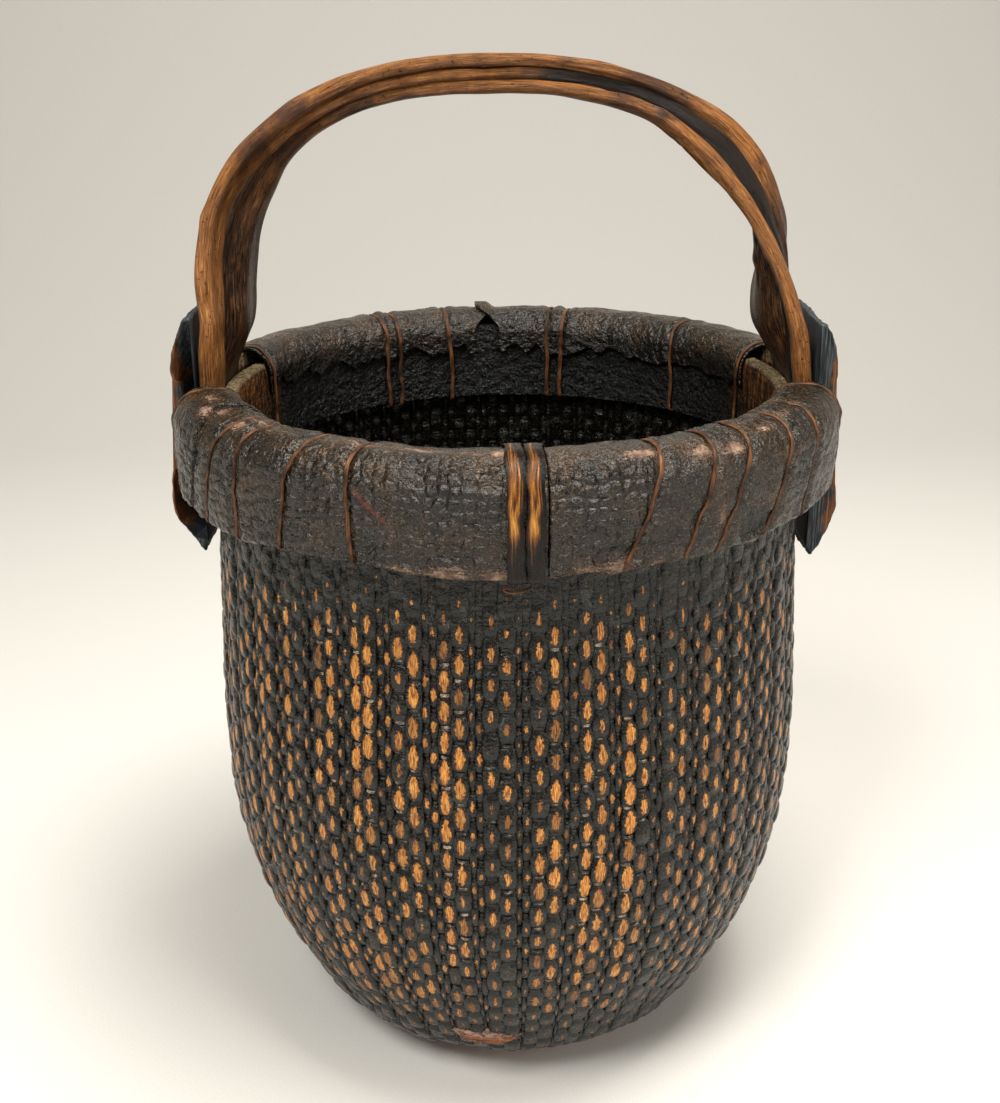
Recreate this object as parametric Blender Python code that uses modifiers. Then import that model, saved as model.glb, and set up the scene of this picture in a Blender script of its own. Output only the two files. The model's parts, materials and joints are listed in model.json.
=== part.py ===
"""A woven rice basket with a rolled, laced rim and a fixed handle of three twisted branches.

Metres, +Z up. The origin is on the ground, in the middle of the basket. The handle arches over X,
and -Y is the front. The wall is a turned shell of rods. Two hoops clamp its top edge, four sheets
cover the hoops, and strands of split cane lace the sheets down through slots in the wall. The
handle's legs stand in notches of the wall, between the inner hoop and a carved block on each side.
"""

import math

import bmesh
import bpy
from mathutils import Matrix, Vector

# What every piece shares
GAP = 0.0003
OVERRUN = 0.006
WELD = 0.00001
TURN_STEPS = 60
FULL_TURN = 2 * math.pi
SIDES = (("left", -1), ("right", 1))

# Foot
RING_INSET = 0.0085
RING_WIDTH = 0.0085
RING_SPREAD = 0.0045
RING_HEIGHT = 0.0080
BATTEN_WIDTH = 0.0400
BATTEN_THICKNESS = 0.0115
BATTEN_OFFSET = -0.0165
BATTEN_BEVEL = 0.0030

# Woven body
BELLY_SWELL = 0.0059
WALL_THICKNESS = 0.0071
FOOT_OUTER_RADIUS = 0.1055
FOOT_WALL = 0.0100
SHOULDER_BELOW_SKIRT = 0.0065
FLOOR_CORNER_SHARE = 0.62
WALL_COLUMNS_PER_STEP = 3
RIB_COLUMNS = 4
RIB_DEPTH = 0.0024
# Height, from the foot to the shoulder, and radius, of the belly's
BODY_OUTLINE_SHARES = (
    (0.065, 0.740),
    (0.139, 0.812),
    (0.243, 0.906),
    (0.391, 0.980),
    (0.569, 1.000),
    (0.748, 0.986),
    (0.926, 0.970),
)

# Hoops
HOOP_INNER_RADIUS = 0.1545
HOOP_THICKNESS = 0.0075
HOOP_HEIGHT = 0.0485
OUTER_HOOP_THICKNESS = 0.0175
WALL_BELOW_HOOP = 0.0035
HOOP_EDGE_STEPS = 2

# Covers over the rim
RIM_TOP = 0.4097
HOOP_BELOW_RIM = 0.0092
COVER_THICKNESS = 0.0020
COVER_CLEARANCE = 0.0008
ROLL_FLAT = 0.0030
INNER_ROLL = 0.0150
ROLL_STEPS = 4
SKIRT_BELOW_HOOP = 0.0005
SKIRT_DRAW_IN = 0.0025
SKIRT_FULL_SHARE = 0.54
LINING_ABOVE_SKIRT = 0.0045
SEAM_HALF_WIDTH = 0.0004
SEAM_BESIDE_STRAP = 0.0012
BACK_SEAM = math.radians(94)
HOOP_ABOVE_SKIRT = 0.0045

# Split cane round the rim
LACING_WIDTH = 0.0026
LACING_THICKNESS = 0.0012
STRAP_WIDTH = 0.0090
STRAP_THICKNESS = 0.0016
STRAP_TURN = math.radians(-87.6)
STRAP_CLEARANCE = 0.0008
LACING_CLEARANCE = 0.0005
BINDING_INSET = 0.0045
# Place round the rim and slant, in degrees
LACING_TURNS = (
    (-145, 22),
    (-136.5, 7),
    (-125.5, 14),
    (-114, 0),
    (-70, 20),
    (-60.5, 18),
    (-54, 22),
    (-43.5, 22),
    (-33.5, 12),
    (121, 0),
    (117.5, 0),
    (104, 2),
    (79, 1),
    (75.5, -1),
    (44.5, 3),
)

# Handle
HANDLE_OFFSET = 0.0040
ARCH_DRAW_IN = 0.0114
ARCH_ABOVE_RIM = 0.0288
ARCH_RISE = 0.1316
ARCH_SQUARENESS = 2.44
ARCH_LEAN = 0.0078
ARCH_STEPS = 24
BRANCH_SIDES = 12
FOOT_BELOW_RIM = 0.0735
LEG_STRAIGHT_BELOW_RIM = 0.0080
LEG_PROUD_OF_WALL = 0.0033
LEG_SPACE = 0.0050
ARCH_BASE_THICKNESS = 0.0204
APEX_THICKNESS = 0.0107
APEX_WIDTH = 0.0065
TIP_WIDTH = 0.0110
MIDDLE_WIDTH = 0.0160
BUTT_WIDTH = 0.0430
NARROWING_POWER = 3.5
SECTION_SQUARENESS_SHARE = 0.7
NOTCH_CLEARANCE = 0.0008

# Carved blocks and pegs
BLOCK_DEPTH = 0.0185
BLOCK_HEIGHT = 0.1370
BLOCK_MARGIN = 0.0010
BLOCK_ABOVE_RIM = 0.0333
BLOCK_LIFT = 0.0035
BLOCK_BEVEL = 0.0014
COVER_TO_BLOCK = 0.0080
PEG_RADIUS = 0.0025
PEG_BELOW_RIM = 0.0330
PEG_BITE = 0.0040
PEG_SIDES = 12
WAIST_SHARES = (0.45, 0.70)
# Depth from the inner face and height from the tail's tip
BLOCK_OUTLINE_SHARES = (
    (0.00, 1.000),
    (0.20, 0.992),
    (0.33, 0.937),
    (0.46, 0.893),
    (0.56, 0.851),
    (0.61, 0.790),
    (0.55, 0.745),
    (0.42, 0.715),
    (0.40, 0.640),
    (0.42, 0.460),
    (0.60, 0.405),
    (0.84, 0.380),
    (0.96, 0.324),
    (1.00, 0.230),
    (0.86, 0.150),
    (0.56, 0.080),
    (0.30, 0.022),
    (0.12, 0.000),
    (0.00, 0.050),
)

# Sizes worked out from the ones above
HOOP_TOP = RIM_TOP - HOOP_BELOW_RIM
HOOP_BOTTOM = HOOP_TOP - HOOP_HEIGHT
HOOP_OUTER_RADIUS = HOOP_INNER_RADIUS + HOOP_THICKNESS
WALL_TOP = HOOP_TOP - WALL_BELOW_HOOP
WALL_OUTER_RADIUS = HOOP_OUTER_RADIUS + GAP + WALL_THICKNESS
BELLY_RADIUS = WALL_OUTER_RADIUS + BELLY_SWELL
OUTER_HOOP_INNER_RADIUS = WALL_OUTER_RADIUS + GAP
OUTER_HOOP_RADIUS = OUTER_HOOP_INNER_RADIUS + OUTER_HOOP_THICKNESS
COVER_LAYER = COVER_CLEARANCE + COVER_THICKNESS
RIM_RADIUS = OUTER_HOOP_RADIUS + COVER_LAYER
LINING_RADIUS = HOOP_INNER_RADIUS - COVER_LAYER
SKIRT_BOTTOM = HOOP_BOTTOM - SKIRT_BELOW_HOOP
SKIRT_FULL = RIM_TOP - (RIM_TOP - SKIRT_BOTTOM) * SKIRT_FULL_SHARE
SHOULDER_HEIGHT = SKIRT_BOTTOM - SHOULDER_BELOW_SKIRT
OUTER_ROLL = OUTER_HOOP_THICKNESS + COVER_LAYER - ROLL_FLAT
OUTER_CENTRE = (RIM_RADIUS - OUTER_ROLL, RIM_TOP - OUTER_ROLL)
INNER_CENTRE = (LINING_RADIUS + INNER_ROLL, RIM_TOP - INNER_ROLL)
RIM_MIDDLE_RADIUS = (RIM_RADIUS + LINING_RADIUS) / 2
FRONT_SEAM = STRAP_TURN + (STRAP_WIDTH + GAP + SEAM_BESIDE_STRAP) / RIM_RADIUS
RING_OUTER_RADIUS = FOOT_OUTER_RADIUS - RING_INSET
RING_INNER_RADIUS = RING_OUTER_RADIUS - RING_WIDTH
FOOT_INNER_RADIUS = FOOT_OUTER_RADIUS - FOOT_WALL
FOOT_BOTTOM = RING_HEIGHT + GAP
FOOT_CEILING = FOOT_BOTTOM + BATTEN_THICKNESS + GAP
LEG_BOTTOM = RIM_TOP - FOOT_BELOW_RIM
LEG_THICKNESS = WALL_THICKNESS + LEG_PROUD_OF_WALL
LEG_INNER_FACE = HOOP_OUTER_RADIUS + GAP
LEG_CENTRE = LEG_INNER_FACE + LEG_THICKNESS / 2
ARCH_HALF_SPAN = LEG_CENTRE - ARCH_DRAW_IN
ARCH_BASE = RIM_TOP + ARCH_ABOVE_RIM
BAND_WIDTH = TIP_WIDTH + MIDDLE_WIDTH + BUTT_WIDTH + 2 * LEG_SPACE
BLOCK_FACE = LEG_INNER_FACE + LEG_THICKNESS + GAP
BLOCK_WIDTH = BAND_WIDTH + 2 * BLOCK_MARGIN
PEG_HEIGHT = RIM_TOP - PEG_BELOW_RIM


def collection(name):
    made = bpy.data.collections.new(name)
    bpy.context.scene.collection.children.link(made)
    return made


def clear_scene():
    for found in list(bpy.data.objects):
        bpy.data.objects.remove(found)


def material(name, colour, roughness):
    made = bpy.data.materials.new(name)
    made.use_nodes = True
    shader = made.node_tree.nodes["Principled BSDF"]
    shader.inputs["Base Color"].default_value = (*colour, 1)
    shader.inputs["Roughness"].default_value = roughness
    shader.inputs["Metallic"].default_value = 0
    return made


def linked(name, data, group, finish=None):
    made = bpy.data.objects.new(name, data)
    group.objects.link(made)
    if finish:
        made.data.materials.append(finish)
    return made


def mesh_object(name, shape, group, finish=None):
    """Turns a bmesh into an object and frees it."""
    data = bpy.data.meshes.new(name)
    shape.to_mesh(data)
    shape.free()
    return linked(name, data, group, finish)


def smooth(piece, degrees=40):
    piece.data.shade_smooth()
    piece.data.set_sharp_from_angle(angle=math.radians(degrees))
    return piece


def shape_of(guide):
    """What a guide's curve or modifiers make, welded, as a bmesh."""
    bpy.context.view_layer.update()
    graph = bpy.context.evaluated_depsgraph_get()
    data = bpy.data.meshes.new_from_object(guide.evaluated_get(graph))
    shape = bmesh.new()
    shape.from_mesh(data)
    bpy.data.meshes.remove(data)
    bmesh.ops.remove_doubles(shape, verts=shape.verts, dist=WELD)
    return shape


def made_mesh(name, curve, group, finish):
    """A curve object made a mesh, so that it can be beveled, cut and leaned."""
    shape = shape_of(curve)
    bmesh.ops.dissolve_limit(
        shape, angle_limit=math.radians(1), verts=shape.verts, edges=shape.edges
    )
    made = mesh_object(name, shape, group, finish)
    made.matrix_world = curve.matrix_world
    bpy.data.objects.remove(curve)
    return made


def as_cutter(piece):
    piece.hide_render = True
    piece.display_type = "WIRE"
    return piece


def cut(piece, cutter):
    modifier = piece.modifiers.new("cut_" + cutter.name, "BOOLEAN")
    modifier.operation = "DIFFERENCE"
    modifier.object = cutter


def cut_all(piece, cutters):
    """Cuts a piece with everything in a collection at once."""
    modifier = piece.modifiers.new("cut_" + cutters.name, "BOOLEAN")
    modifier.operation = "DIFFERENCE"
    modifier.operand_type = "COLLECTION"
    modifier.collection = cutters


def box(name, low, high, group, finish=None, bevel=0):
    """A box between two corners."""
    shape = bmesh.new()
    bmesh.ops.create_cube(shape, size=1)
    low, high = Vector(low), Vector(high)
    bmesh.ops.scale(shape, vec=high - low, verts=shape.verts)
    bmesh.ops.translate(shape, vec=(low + high) / 2, verts=shape.verts)
    made = mesh_object(name, shape, group, finish)
    if bevel:
        rounded = made.modifiers.new("rounded", "BEVEL")
        rounded.width = bevel
        rounded.segments = 2
    return made


def turned(
    name, outline, group, finish, angle=FULL_TURN, start=0.0, closed=True, turn_steps=TURN_STEPS
):
    """Turns an outline of (radius, height) about Z, from an azimuth through an angle."""
    shape = bmesh.new()
    points = [shape.verts.new((radius, 0, height)) for radius, height in outline]
    for first, second in zip(points, points[1:]):
        shape.edges.new((first, second))
    if closed:
        shape.edges.new((points[-1], points[0]))
    made = mesh_object(name, shape, group, finish)
    screw = made.modifiers.new("turn", "SCREW")
    screw.angle = angle
    steps = max(3, round(turn_steps * angle / FULL_TURN))
    screw.steps = steps
    screw.render_steps = steps
    screw.use_smooth_shade = True
    screw.use_merge_vertices = True
    screw.merge_threshold = WELD
    made.rotation_euler.z = start
    return made


def turned_bar(name, outline, group, finish, angle, start):
    """Sweeps a closed outline of (radius, height) part of the way round Z, with both ends closed."""
    shape = bmesh.new()
    face = shape.faces.new([shape.verts.new((radius, 0, height)) for radius, height in outline])
    bmesh.ops.spin(
        shape,
        geom=[face, *face.edges, *face.verts],
        cent=(0, 0, 0),
        axis=(0, 0, 1),
        angle=angle,
        steps=max(3, round(TURN_STEPS * angle / FULL_TURN)),
    )
    bmesh.ops.recalc_face_normals(shape, faces=shape.faces)
    made = mesh_object(name, shape, group, finish)
    made.rotation_euler.z = start
    return smooth(made)


def arc(centre, radius, first, last, steps=ROLL_STEPS):
    """Points of (radius, height) along a quarter or half circle, angles in degrees."""
    points = []
    for step in range(steps + 1):
        angle = math.radians(first + (last - first) * step / steps)
        points.append((centre[0] + radius * math.cos(angle), centre[1] + radius * math.sin(angle)))
    return points


def end_angle(radius, side, front, reach):
    """The azimuth at which a circle meets a plane that lies in front of or behind the handle."""
    across = HANDLE_OFFSET + (-reach if front else reach)
    angle = math.asin(across / radius)
    return angle if side > 0 else math.pi - angle


def with_middles(points):
    """Puts a point between each two, on the smooth curve through them."""
    rounded = [points[0]]
    last = len(points) - 1
    for index in range(last):
        before, here = Vector(points[max(0, index - 1)]), Vector(points[index])
        after, beyond = Vector(points[index + 1]), Vector(points[min(last, index + 2)])
        middle = (9 * (here + after) - before - beyond) / 16
        rounded += [tuple(middle), points[index + 1]]
    return rounded


def wall_line():
    """The outside of the wall from its foot to its shoulder, as (radius, height)."""
    rise = SHOULDER_HEIGHT - FOOT_BOTTOM
    line = [(FOOT_OUTER_RADIUS, FOOT_BOTTOM)]
    for up, out in BODY_OUTLINE_SHARES:
        line.append((BELLY_RADIUS * out, FOOT_BOTTOM + rise * up))
    line.append((WALL_OUTER_RADIUS, SHOULDER_HEIGHT))
    return with_middles(line)


def body_outline():
    """The shell's outline: out along the floor, up the inside, over and down the outside."""
    outside = wall_line() + [(WALL_OUTER_RADIUS, WALL_TOP)]
    floor = FOOT_CEILING + WALL_THICKNESS
    inside = [(0, floor), (FOOT_OUTER_RADIUS * FLOOR_CORNER_SHARE, floor)]
    for radius, height in outside[2::2]:
        if height > floor:
            inside.append((radius - WALL_THICKNESS, height))
    inside.append((WALL_OUTER_RADIUS - WALL_THICKNESS, WALL_TOP))
    under = [(FOOT_INNER_RADIUS, FOOT_BOTTOM), (FOOT_INNER_RADIUS, FOOT_CEILING), (0, FOOT_CEILING)]
    return inside + outside[::-1] + under


def on_chord(column):
    """How much nearer the axis a column lies when it stands on the flat between two corners."""
    half = math.pi / TURN_STEPS
    aside = half * (2 * (column % WALL_COLUMNS_PER_STEP) / WALL_COLUMNS_PER_STEP - 1)
    return math.cos(half) / math.cos(aside)


def rib_wall(shape):
    """Draws a valley into the outside between each two ribs, and leaves the rest of the shell plain."""
    line = wall_line()[1:-1]
    columns = TURN_STEPS * WALL_COLUMNS_PER_STEP
    place = {}
    ribbed = set()
    for vert in shape.verts:
        radius = math.hypot(vert.co.x, vert.co.y)
        if radius < WELD:
            continue
        column = round(math.atan2(vert.co.y, vert.co.x) / FULL_TURN * columns)
        place[vert] = column
        if any(abs(radius - out) < WELD and abs(vert.co.z - up) < WELD for out, up in line):
            ribbed.add(vert)
            share = 1 - RIB_DEPTH / radius if column % RIB_COLUMNS == 0 else 1
        else:
            share = on_chord(column)
        vert.co.x *= share
        vert.co.y *= share
    spare = []
    for edge in shape.edges:
        uprights = {place[vert] for vert in edge.verts if vert in place}
        if len(uprights) == 1 and not ribbed.intersection(edge.verts):
            if uprights.pop() % WALL_COLUMNS_PER_STEP:
                spare.append(edge)
    bmesh.ops.dissolve_edges(shape, edges=spare, use_verts=True)


def make_body(group, cutters, finish):
    """The woven shell: pairs of thick rods stand out as ribs, with thin rods in the valleys."""
    steps = TURN_STEPS * WALL_COLUMNS_PER_STEP
    guide = turned("body_guide", body_outline(), group, finish, closed=False, turn_steps=steps)
    shape = shape_of(guide)
    bpy.data.objects.remove(guide)
    rib_wall(shape)
    body = smooth(mesh_object("woven_body", shape, group, finish))
    cut_all(body, cutters)
    return body


def make_foot(group, helpers, body_cutters, wood, split_wood):
    """The ring that the basket stands on, and two battens half-lapped over it."""
    ring_outline = (
        (RING_INNER_RADIUS, 0),
        (RING_INNER_RADIUS, RING_HEIGHT),
        (RING_OUTER_RADIUS + RING_SPREAD, RING_HEIGHT),
        (RING_OUTER_RADIUS, 0),
    )
    turned("base_ring", ring_outline, group, wood)
    half = BATTEN_WIDTH / 2
    bottom = FOOT_BOTTOM
    top = bottom + BATTEN_THICKNESS
    lap = bottom + BATTEN_THICKNESS / 2
    left, right = BATTEN_OFFSET - half, BATTEN_OFFSET + half
    long_end = FOOT_OUTER_RADIUS
    short_end = math.sqrt(FOOT_INNER_RADIUS**2 - half**2) - GAP
    long_low, long_high = (left, -long_end, bottom), (right, long_end, top)
    short_low, short_high = (-short_end, -half, bottom), (short_end, half, top)
    long_batten = box("base_batten_long", long_low, long_high, group, split_wood, BATTEN_BEVEL)
    cross_batten = box("base_batten_cross", short_low, short_high, group, split_wood, BATTEN_BEVEL)
    lap_over = box(
        "lap_over",
        (left - OVERRUN, -half - GAP, lap - GAP / 2),
        (right + OVERRUN, half + GAP, top + OVERRUN),
        helpers,
    )
    lap_under = box(
        "lap_under",
        (left - GAP, -half - OVERRUN, bottom - OVERRUN),
        (right + GAP, half + OVERRUN, lap + GAP / 2),
        helpers,
    )
    cut(long_batten, as_cutter(lap_over))
    cut(cross_batten, as_cutter(lap_under))
    channel = box(
        "batten_channel",
        (left - GAP, -long_end - OVERRUN, FOOT_BOTTOM - OVERRUN),
        (right + GAP, long_end + OVERRUN, FOOT_CEILING),
        body_cutters,
    )
    as_cutter(channel)


def make_hoops(group, peg_cutters, wood):
    """The hoop inside the wall, and the two halves of the hoop round it."""
    edge = INNER_ROLL - COVER_LAYER
    edge_end = math.degrees(math.asin((HOOP_TOP - INNER_CENTRE[1]) / edge))
    inner_outline = [(HOOP_INNER_RADIUS, HOOP_BOTTOM)]
    inner_outline += arc(INNER_CENTRE, edge, 180, 180 - edge_end, HOOP_EDGE_STEPS)
    inner_outline += [(HOOP_OUTER_RADIUS, HOOP_TOP), (HOOP_OUTER_RADIUS, HOOP_BOTTOM)]
    inner = turned("inner_hoop", inner_outline, group, wood)
    cut_all(inner, peg_cutters)
    bottom = SKIRT_BOTTOM + HOOP_ABOVE_SKIRT
    crown = arc(OUTER_CENTRE, OUTER_ROLL - COVER_LAYER, 90, 0)
    outer_outline = [(OUTER_HOOP_INNER_RADIUS, bottom), (OUTER_HOOP_INNER_RADIUS, crown[0][1])]
    outer_outline += crown
    outer_outline += [(OUTER_HOOP_RADIUS, SKIRT_FULL), (OUTER_HOOP_RADIUS - SKIRT_DRAW_IN, bottom)]
    reach = BLOCK_WIDTH / 2 + GAP
    for name, front in (("front", True), ("back", False)):
        first, last = span(OUTER_HOOP_INNER_RADIUS, front, reach)
        turned_bar("outer_hoop_" + name, outer_outline, group, wood, last - first, first)


def span(radius, front, reach):
    """The azimuths between which the front or the back half of the rim lies."""
    left = end_angle(radius, -1, front, reach)
    right = end_angle(radius, 1, front, reach)
    return (left - FULL_TURN, right) if front else (right, left)


def cover_spans():
    """Each cover's name and its two azimuths."""
    reach = BLOCK_WIDTH / 2 + COVER_TO_BLOCK
    seam = SEAM_HALF_WIDTH / RIM_MIDDLE_RADIUS
    front_first, front_last = span(RIM_MIDDLE_RADIUS, True, reach)
    back_first, back_last = span(RIM_MIDDLE_RADIUS, False, reach)
    return (
        ("front_left", front_first, FRONT_SEAM - seam),
        ("front_right", FRONT_SEAM + seam, front_last),
        ("back_right", back_first, BACK_SEAM - seam),
        ("back_left", BACK_SEAM + seam, back_last),
    )


def make_covers(group, finish):
    outline = [(LINING_RADIUS, SKIRT_BOTTOM + LINING_ABOVE_SKIRT)]
    outline += arc(INNER_CENTRE, INNER_ROLL, 180, 90)
    outline += arc(OUTER_CENTRE, OUTER_ROLL, 90, 0)
    outline += [(RIM_RADIUS, SKIRT_FULL), (RIM_RADIUS - SKIRT_DRAW_IN, SKIRT_BOTTOM)]
    for name, first, last in cover_spans():
        cover = turned("cover_" + name, outline, group, finish, last - first, first, closed=False)
        shell = cover.modifiers.new("sheet", "SOLIDIFY")
        shell.thickness = COVER_THICKNESS
        shell.offset = -1
        shell.use_even_offset = True


def strand_outline(offset):
    """A closed line round the rim at a distance from the covers, as (radius, height)."""
    low = SKIRT_BOTTOM - offset
    points = [(RIM_RADIUS - SKIRT_DRAW_IN + offset, low), (RIM_RADIUS + offset, SKIRT_FULL)]
    points += arc(OUTER_CENTRE, OUTER_ROLL + offset, 0, 90)
    points += arc(INNER_CENTRE, INNER_ROLL + offset, 90, 180)
    points.append((LINING_RADIUS - offset, low))
    return points


def lay_on_rim(piece, azimuth, slant, aside):
    """Stands a flat outline of (radius, height) upright at an azimuth, moved aside and leaning.

    Where it leans away from its azimuth, it keeps its distance from the basket's middle.
    """
    for vertex in piece.data.vertices:
        radius, height, depth = vertex.co
        away = aside + math.tan(slant) * (height - SKIRT_FULL)
        vertex.co = (math.sqrt(radius**2 - away**2), away - depth, height)
    piece.data.transform(Matrix.Rotation(azimuth, 4, "Z"))


def make_strand(name, place, width, thickness, clearance, group, body_cutters, finish):
    """One closed loop of split cane round the rim, and its slot through the wall."""
    data = bpy.data.curves.new(name, "CURVE")
    data.dimensions = "2D"
    data.fill_mode = "BOTH"
    data.extrude = width / 2
    for offset in (clearance, clearance + thickness):
        outline = strand_outline(offset)
        spline = data.splines.new("POLY")
        spline.points.add(len(outline) - 1)
        for point, (radius, height) in zip(spline.points, outline):
            point.co = (radius, height, 0, 1)
        spline.use_cyclic_u = True
    strand = made_mesh(name, linked("line_" + name, data, group), group, finish)
    lay_on_rim(strand, *place)
    top = SKIRT_BOTTOM - clearance + GAP
    slot = box(
        "slot_" + name,
        (HOOP_OUTER_RADIUS - OVERRUN, top - thickness - 2 * GAP, -width / 2 - GAP),
        (WALL_OUTER_RADIUS + OVERRUN, top, width / 2 + GAP),
        body_cutters,
    )
    lay_on_rim(slot, *place)
    as_cutter(slot)


def make_cane(group, body_cutters, lacing, strap):
    """The lacing strands, the two wide straps at the front and a binding at each cover's end."""
    for number, (degrees, slant) in enumerate(LACING_TURNS, 1):
        place = (math.radians(degrees), math.radians(slant), 0)
        make_lacing(f"lacing_{number:02d}", place, group, body_cutters, lacing)
    for name, side in SIDES:
        aside = side * (STRAP_WIDTH + GAP) / 2
        make_strand(
            "cane_strap_" + name,
            (STRAP_TURN, 0, aside),
            STRAP_WIDTH,
            STRAP_THICKNESS,
            STRAP_CLEARANCE,
            group,
            body_cutters,
            strap,
        )
    inset = BINDING_INSET / RIM_MIDDLE_RADIUS
    spans = {name: (first, last) for name, first, last in cover_spans()}
    ends = (
        ("front_left", spans["front_left"][0] + inset),
        ("front_right", spans["front_right"][1] - inset),
        ("back_right", spans["back_right"][0] + inset),
        ("back_left", spans["back_left"][1] - inset),
    )
    for name, azimuth in ends:
        make_lacing("binding_" + name, (azimuth, 0, 0), group, body_cutters, lacing)


def make_lacing(name, place, group, body_cutters, finish):
    make_strand(
        name, place, LACING_WIDTH, LACING_THICKNESS, LACING_CLEARANCE, group, body_cutters, finish
    )


def arch_line():
    """The handle's middle line in the XZ plane, with each point's share of the way over."""
    points = [(-LEG_CENTRE, LEG_BOTTOM, 0), (-LEG_CENTRE, RIM_TOP - LEG_STRAIGHT_BELOW_RIM, 0)]
    for step in range(ARCH_STEPS + 1):
        share = step / ARCH_STEPS
        angle = math.pi * (1 - share)
        across = abs(math.cos(angle)) ** (2 / ARCH_SQUARENESS)
        up = max(0, math.sin(angle)) ** (2 / ARCH_SQUARENESS)
        reach = math.copysign(ARCH_HALF_SPAN * across, math.cos(angle))
        height = ARCH_BASE + ARCH_RISE * up
        lean = ARCH_LEAN * (height - RIM_TOP) / (ARCH_BASE + ARCH_RISE - RIM_TOP)
        points.append((reach - lean, height, share))
    points += [(LEG_CENTRE, RIM_TOP - LEG_STRAIGHT_BELOW_RIM, 1), (LEG_CENTRE, LEG_BOTTOM, 1)]
    return points


def branch_widths(share):
    """The three branches' widths and the space between them. Butts and tips lie at opposite ends."""
    near = (1 - min(1, 2 * share)) ** NARROWING_POWER
    far = (1 - min(1, 2 - 2 * share)) ** NARROWING_POWER
    rest = 1 - near - far
    front = APEX_WIDTH * rest + TIP_WIDTH * near + BUTT_WIDTH * far
    middle = APEX_WIDTH * rest + MIDDLE_WIDTH * (near + far)
    back = APEX_WIDTH * rest + BUTT_WIDTH * near + TIP_WIDTH * far
    space = GAP * rest + LEG_SPACE * (near + far)
    return (front, middle, back), space


def branch_place(which, share):
    """How far a branch's middle lies along the band of three, and its width."""
    widths, space = branch_widths(share)
    whole = sum(widths) + 2 * space
    start = -whole / 2 + sum(widths[:which]) + which * space
    return start + widths[which] / 2, widths[which]


def branch_rings(which):
    """Rings of points along a branch: the band of three makes half a turn from leg to leg."""
    line = arch_line()
    rings = []
    for index, (reach, height, share) in enumerate(line):
        before = line[max(0, index - 1)]
        after = line[min(len(line) - 1, index + 1)]
        along = Vector((after[0] - before[0], 0, after[1] - before[1])).normalized()
        outward = Vector((-along.z, 0, along.x))
        turn = math.pi * share
        band = Vector((0, 1, 0)) * math.cos(turn) - outward * math.sin(turn)
        across = along.cross(band)
        middle, width = branch_place(which, share)
        if height < RIM_TOP:
            thickness = LEG_THICKNESS
        else:
            thin = math.sin(turn)
            thickness = ARCH_BASE_THICKNESS + (APEX_THICKNESS - ARCH_BASE_THICKNESS) * thin
        centre = Vector((reach, HANDLE_OFFSET, height)) + band * middle
        ring = []
        for side in range(BRANCH_SIDES):
            angle = FULL_TURN * (side + 0.5) / BRANCH_SIDES
            flat = math.copysign(abs(math.cos(angle)) ** SECTION_SQUARENESS_SHARE, math.cos(angle))
            ring.append(centre + band * (width / 2 * flat) + across * (thickness / 2 * math.sin(angle)))
        rings.append(ring)
    return rings


def loft(name, rings, group, finish):
    """Skins rings of points into one closed body."""
    shape = bmesh.new()
    loops = [[shape.verts.new(point) for point in ring] for ring in rings]
    for first, second in zip(loops, loops[1:]):
        for index in range(len(first)):
            after = (index + 1) % len(first)
            shape.faces.new((first[index], first[after], second[after], second[index]))
    shape.faces.new(loops[0][::-1])
    shape.faces.new(loops[-1])
    bmesh.ops.recalc_face_normals(shape, faces=shape.faces)
    return smooth(mesh_object(name, shape, group, finish))


def make_handle(group, peg_cutters, body_cutters, finish):
    """The three branches, and the notch in the wall where each side's legs stand."""
    for which, name in enumerate(("front", "middle", "back")):
        branch = loft("handle_branch_" + name, branch_rings(which), group, finish)
        cut_all(branch, peg_cutters)
    half = BAND_WIDTH / 2 + NOTCH_CLEARANCE
    wall_inner = math.sqrt(HOOP_OUTER_RADIUS**2 - (half + abs(HANDLE_OFFSET)) ** 2)
    for name, side in SIDES:
        near = side * (wall_inner - OVERRUN)
        far = side * (WALL_OUTER_RADIUS + OVERRUN)
        notch = box(
            "notch_" + name,
            (min(near, far), HANDLE_OFFSET - half, LEG_BOTTOM - GAP),
            (max(near, far), HANDLE_OFFSET + half, WALL_TOP + OVERRUN),
            body_cutters,
        )
        as_cutter(notch)


def weigh_rims(data):
    """Marks the edges round a flat piece's two faces, so that only they are beveled."""
    weights = data.attributes.new("bevel_weight_edge", "FLOAT", "EDGE")
    for edge in data.edges:
        first, second = (data.vertices[index].co for index in edge.vertices)
        weights.data[edge.index].value = 1.0 if abs(first.z - second.z) < WELD else 0.0


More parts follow.
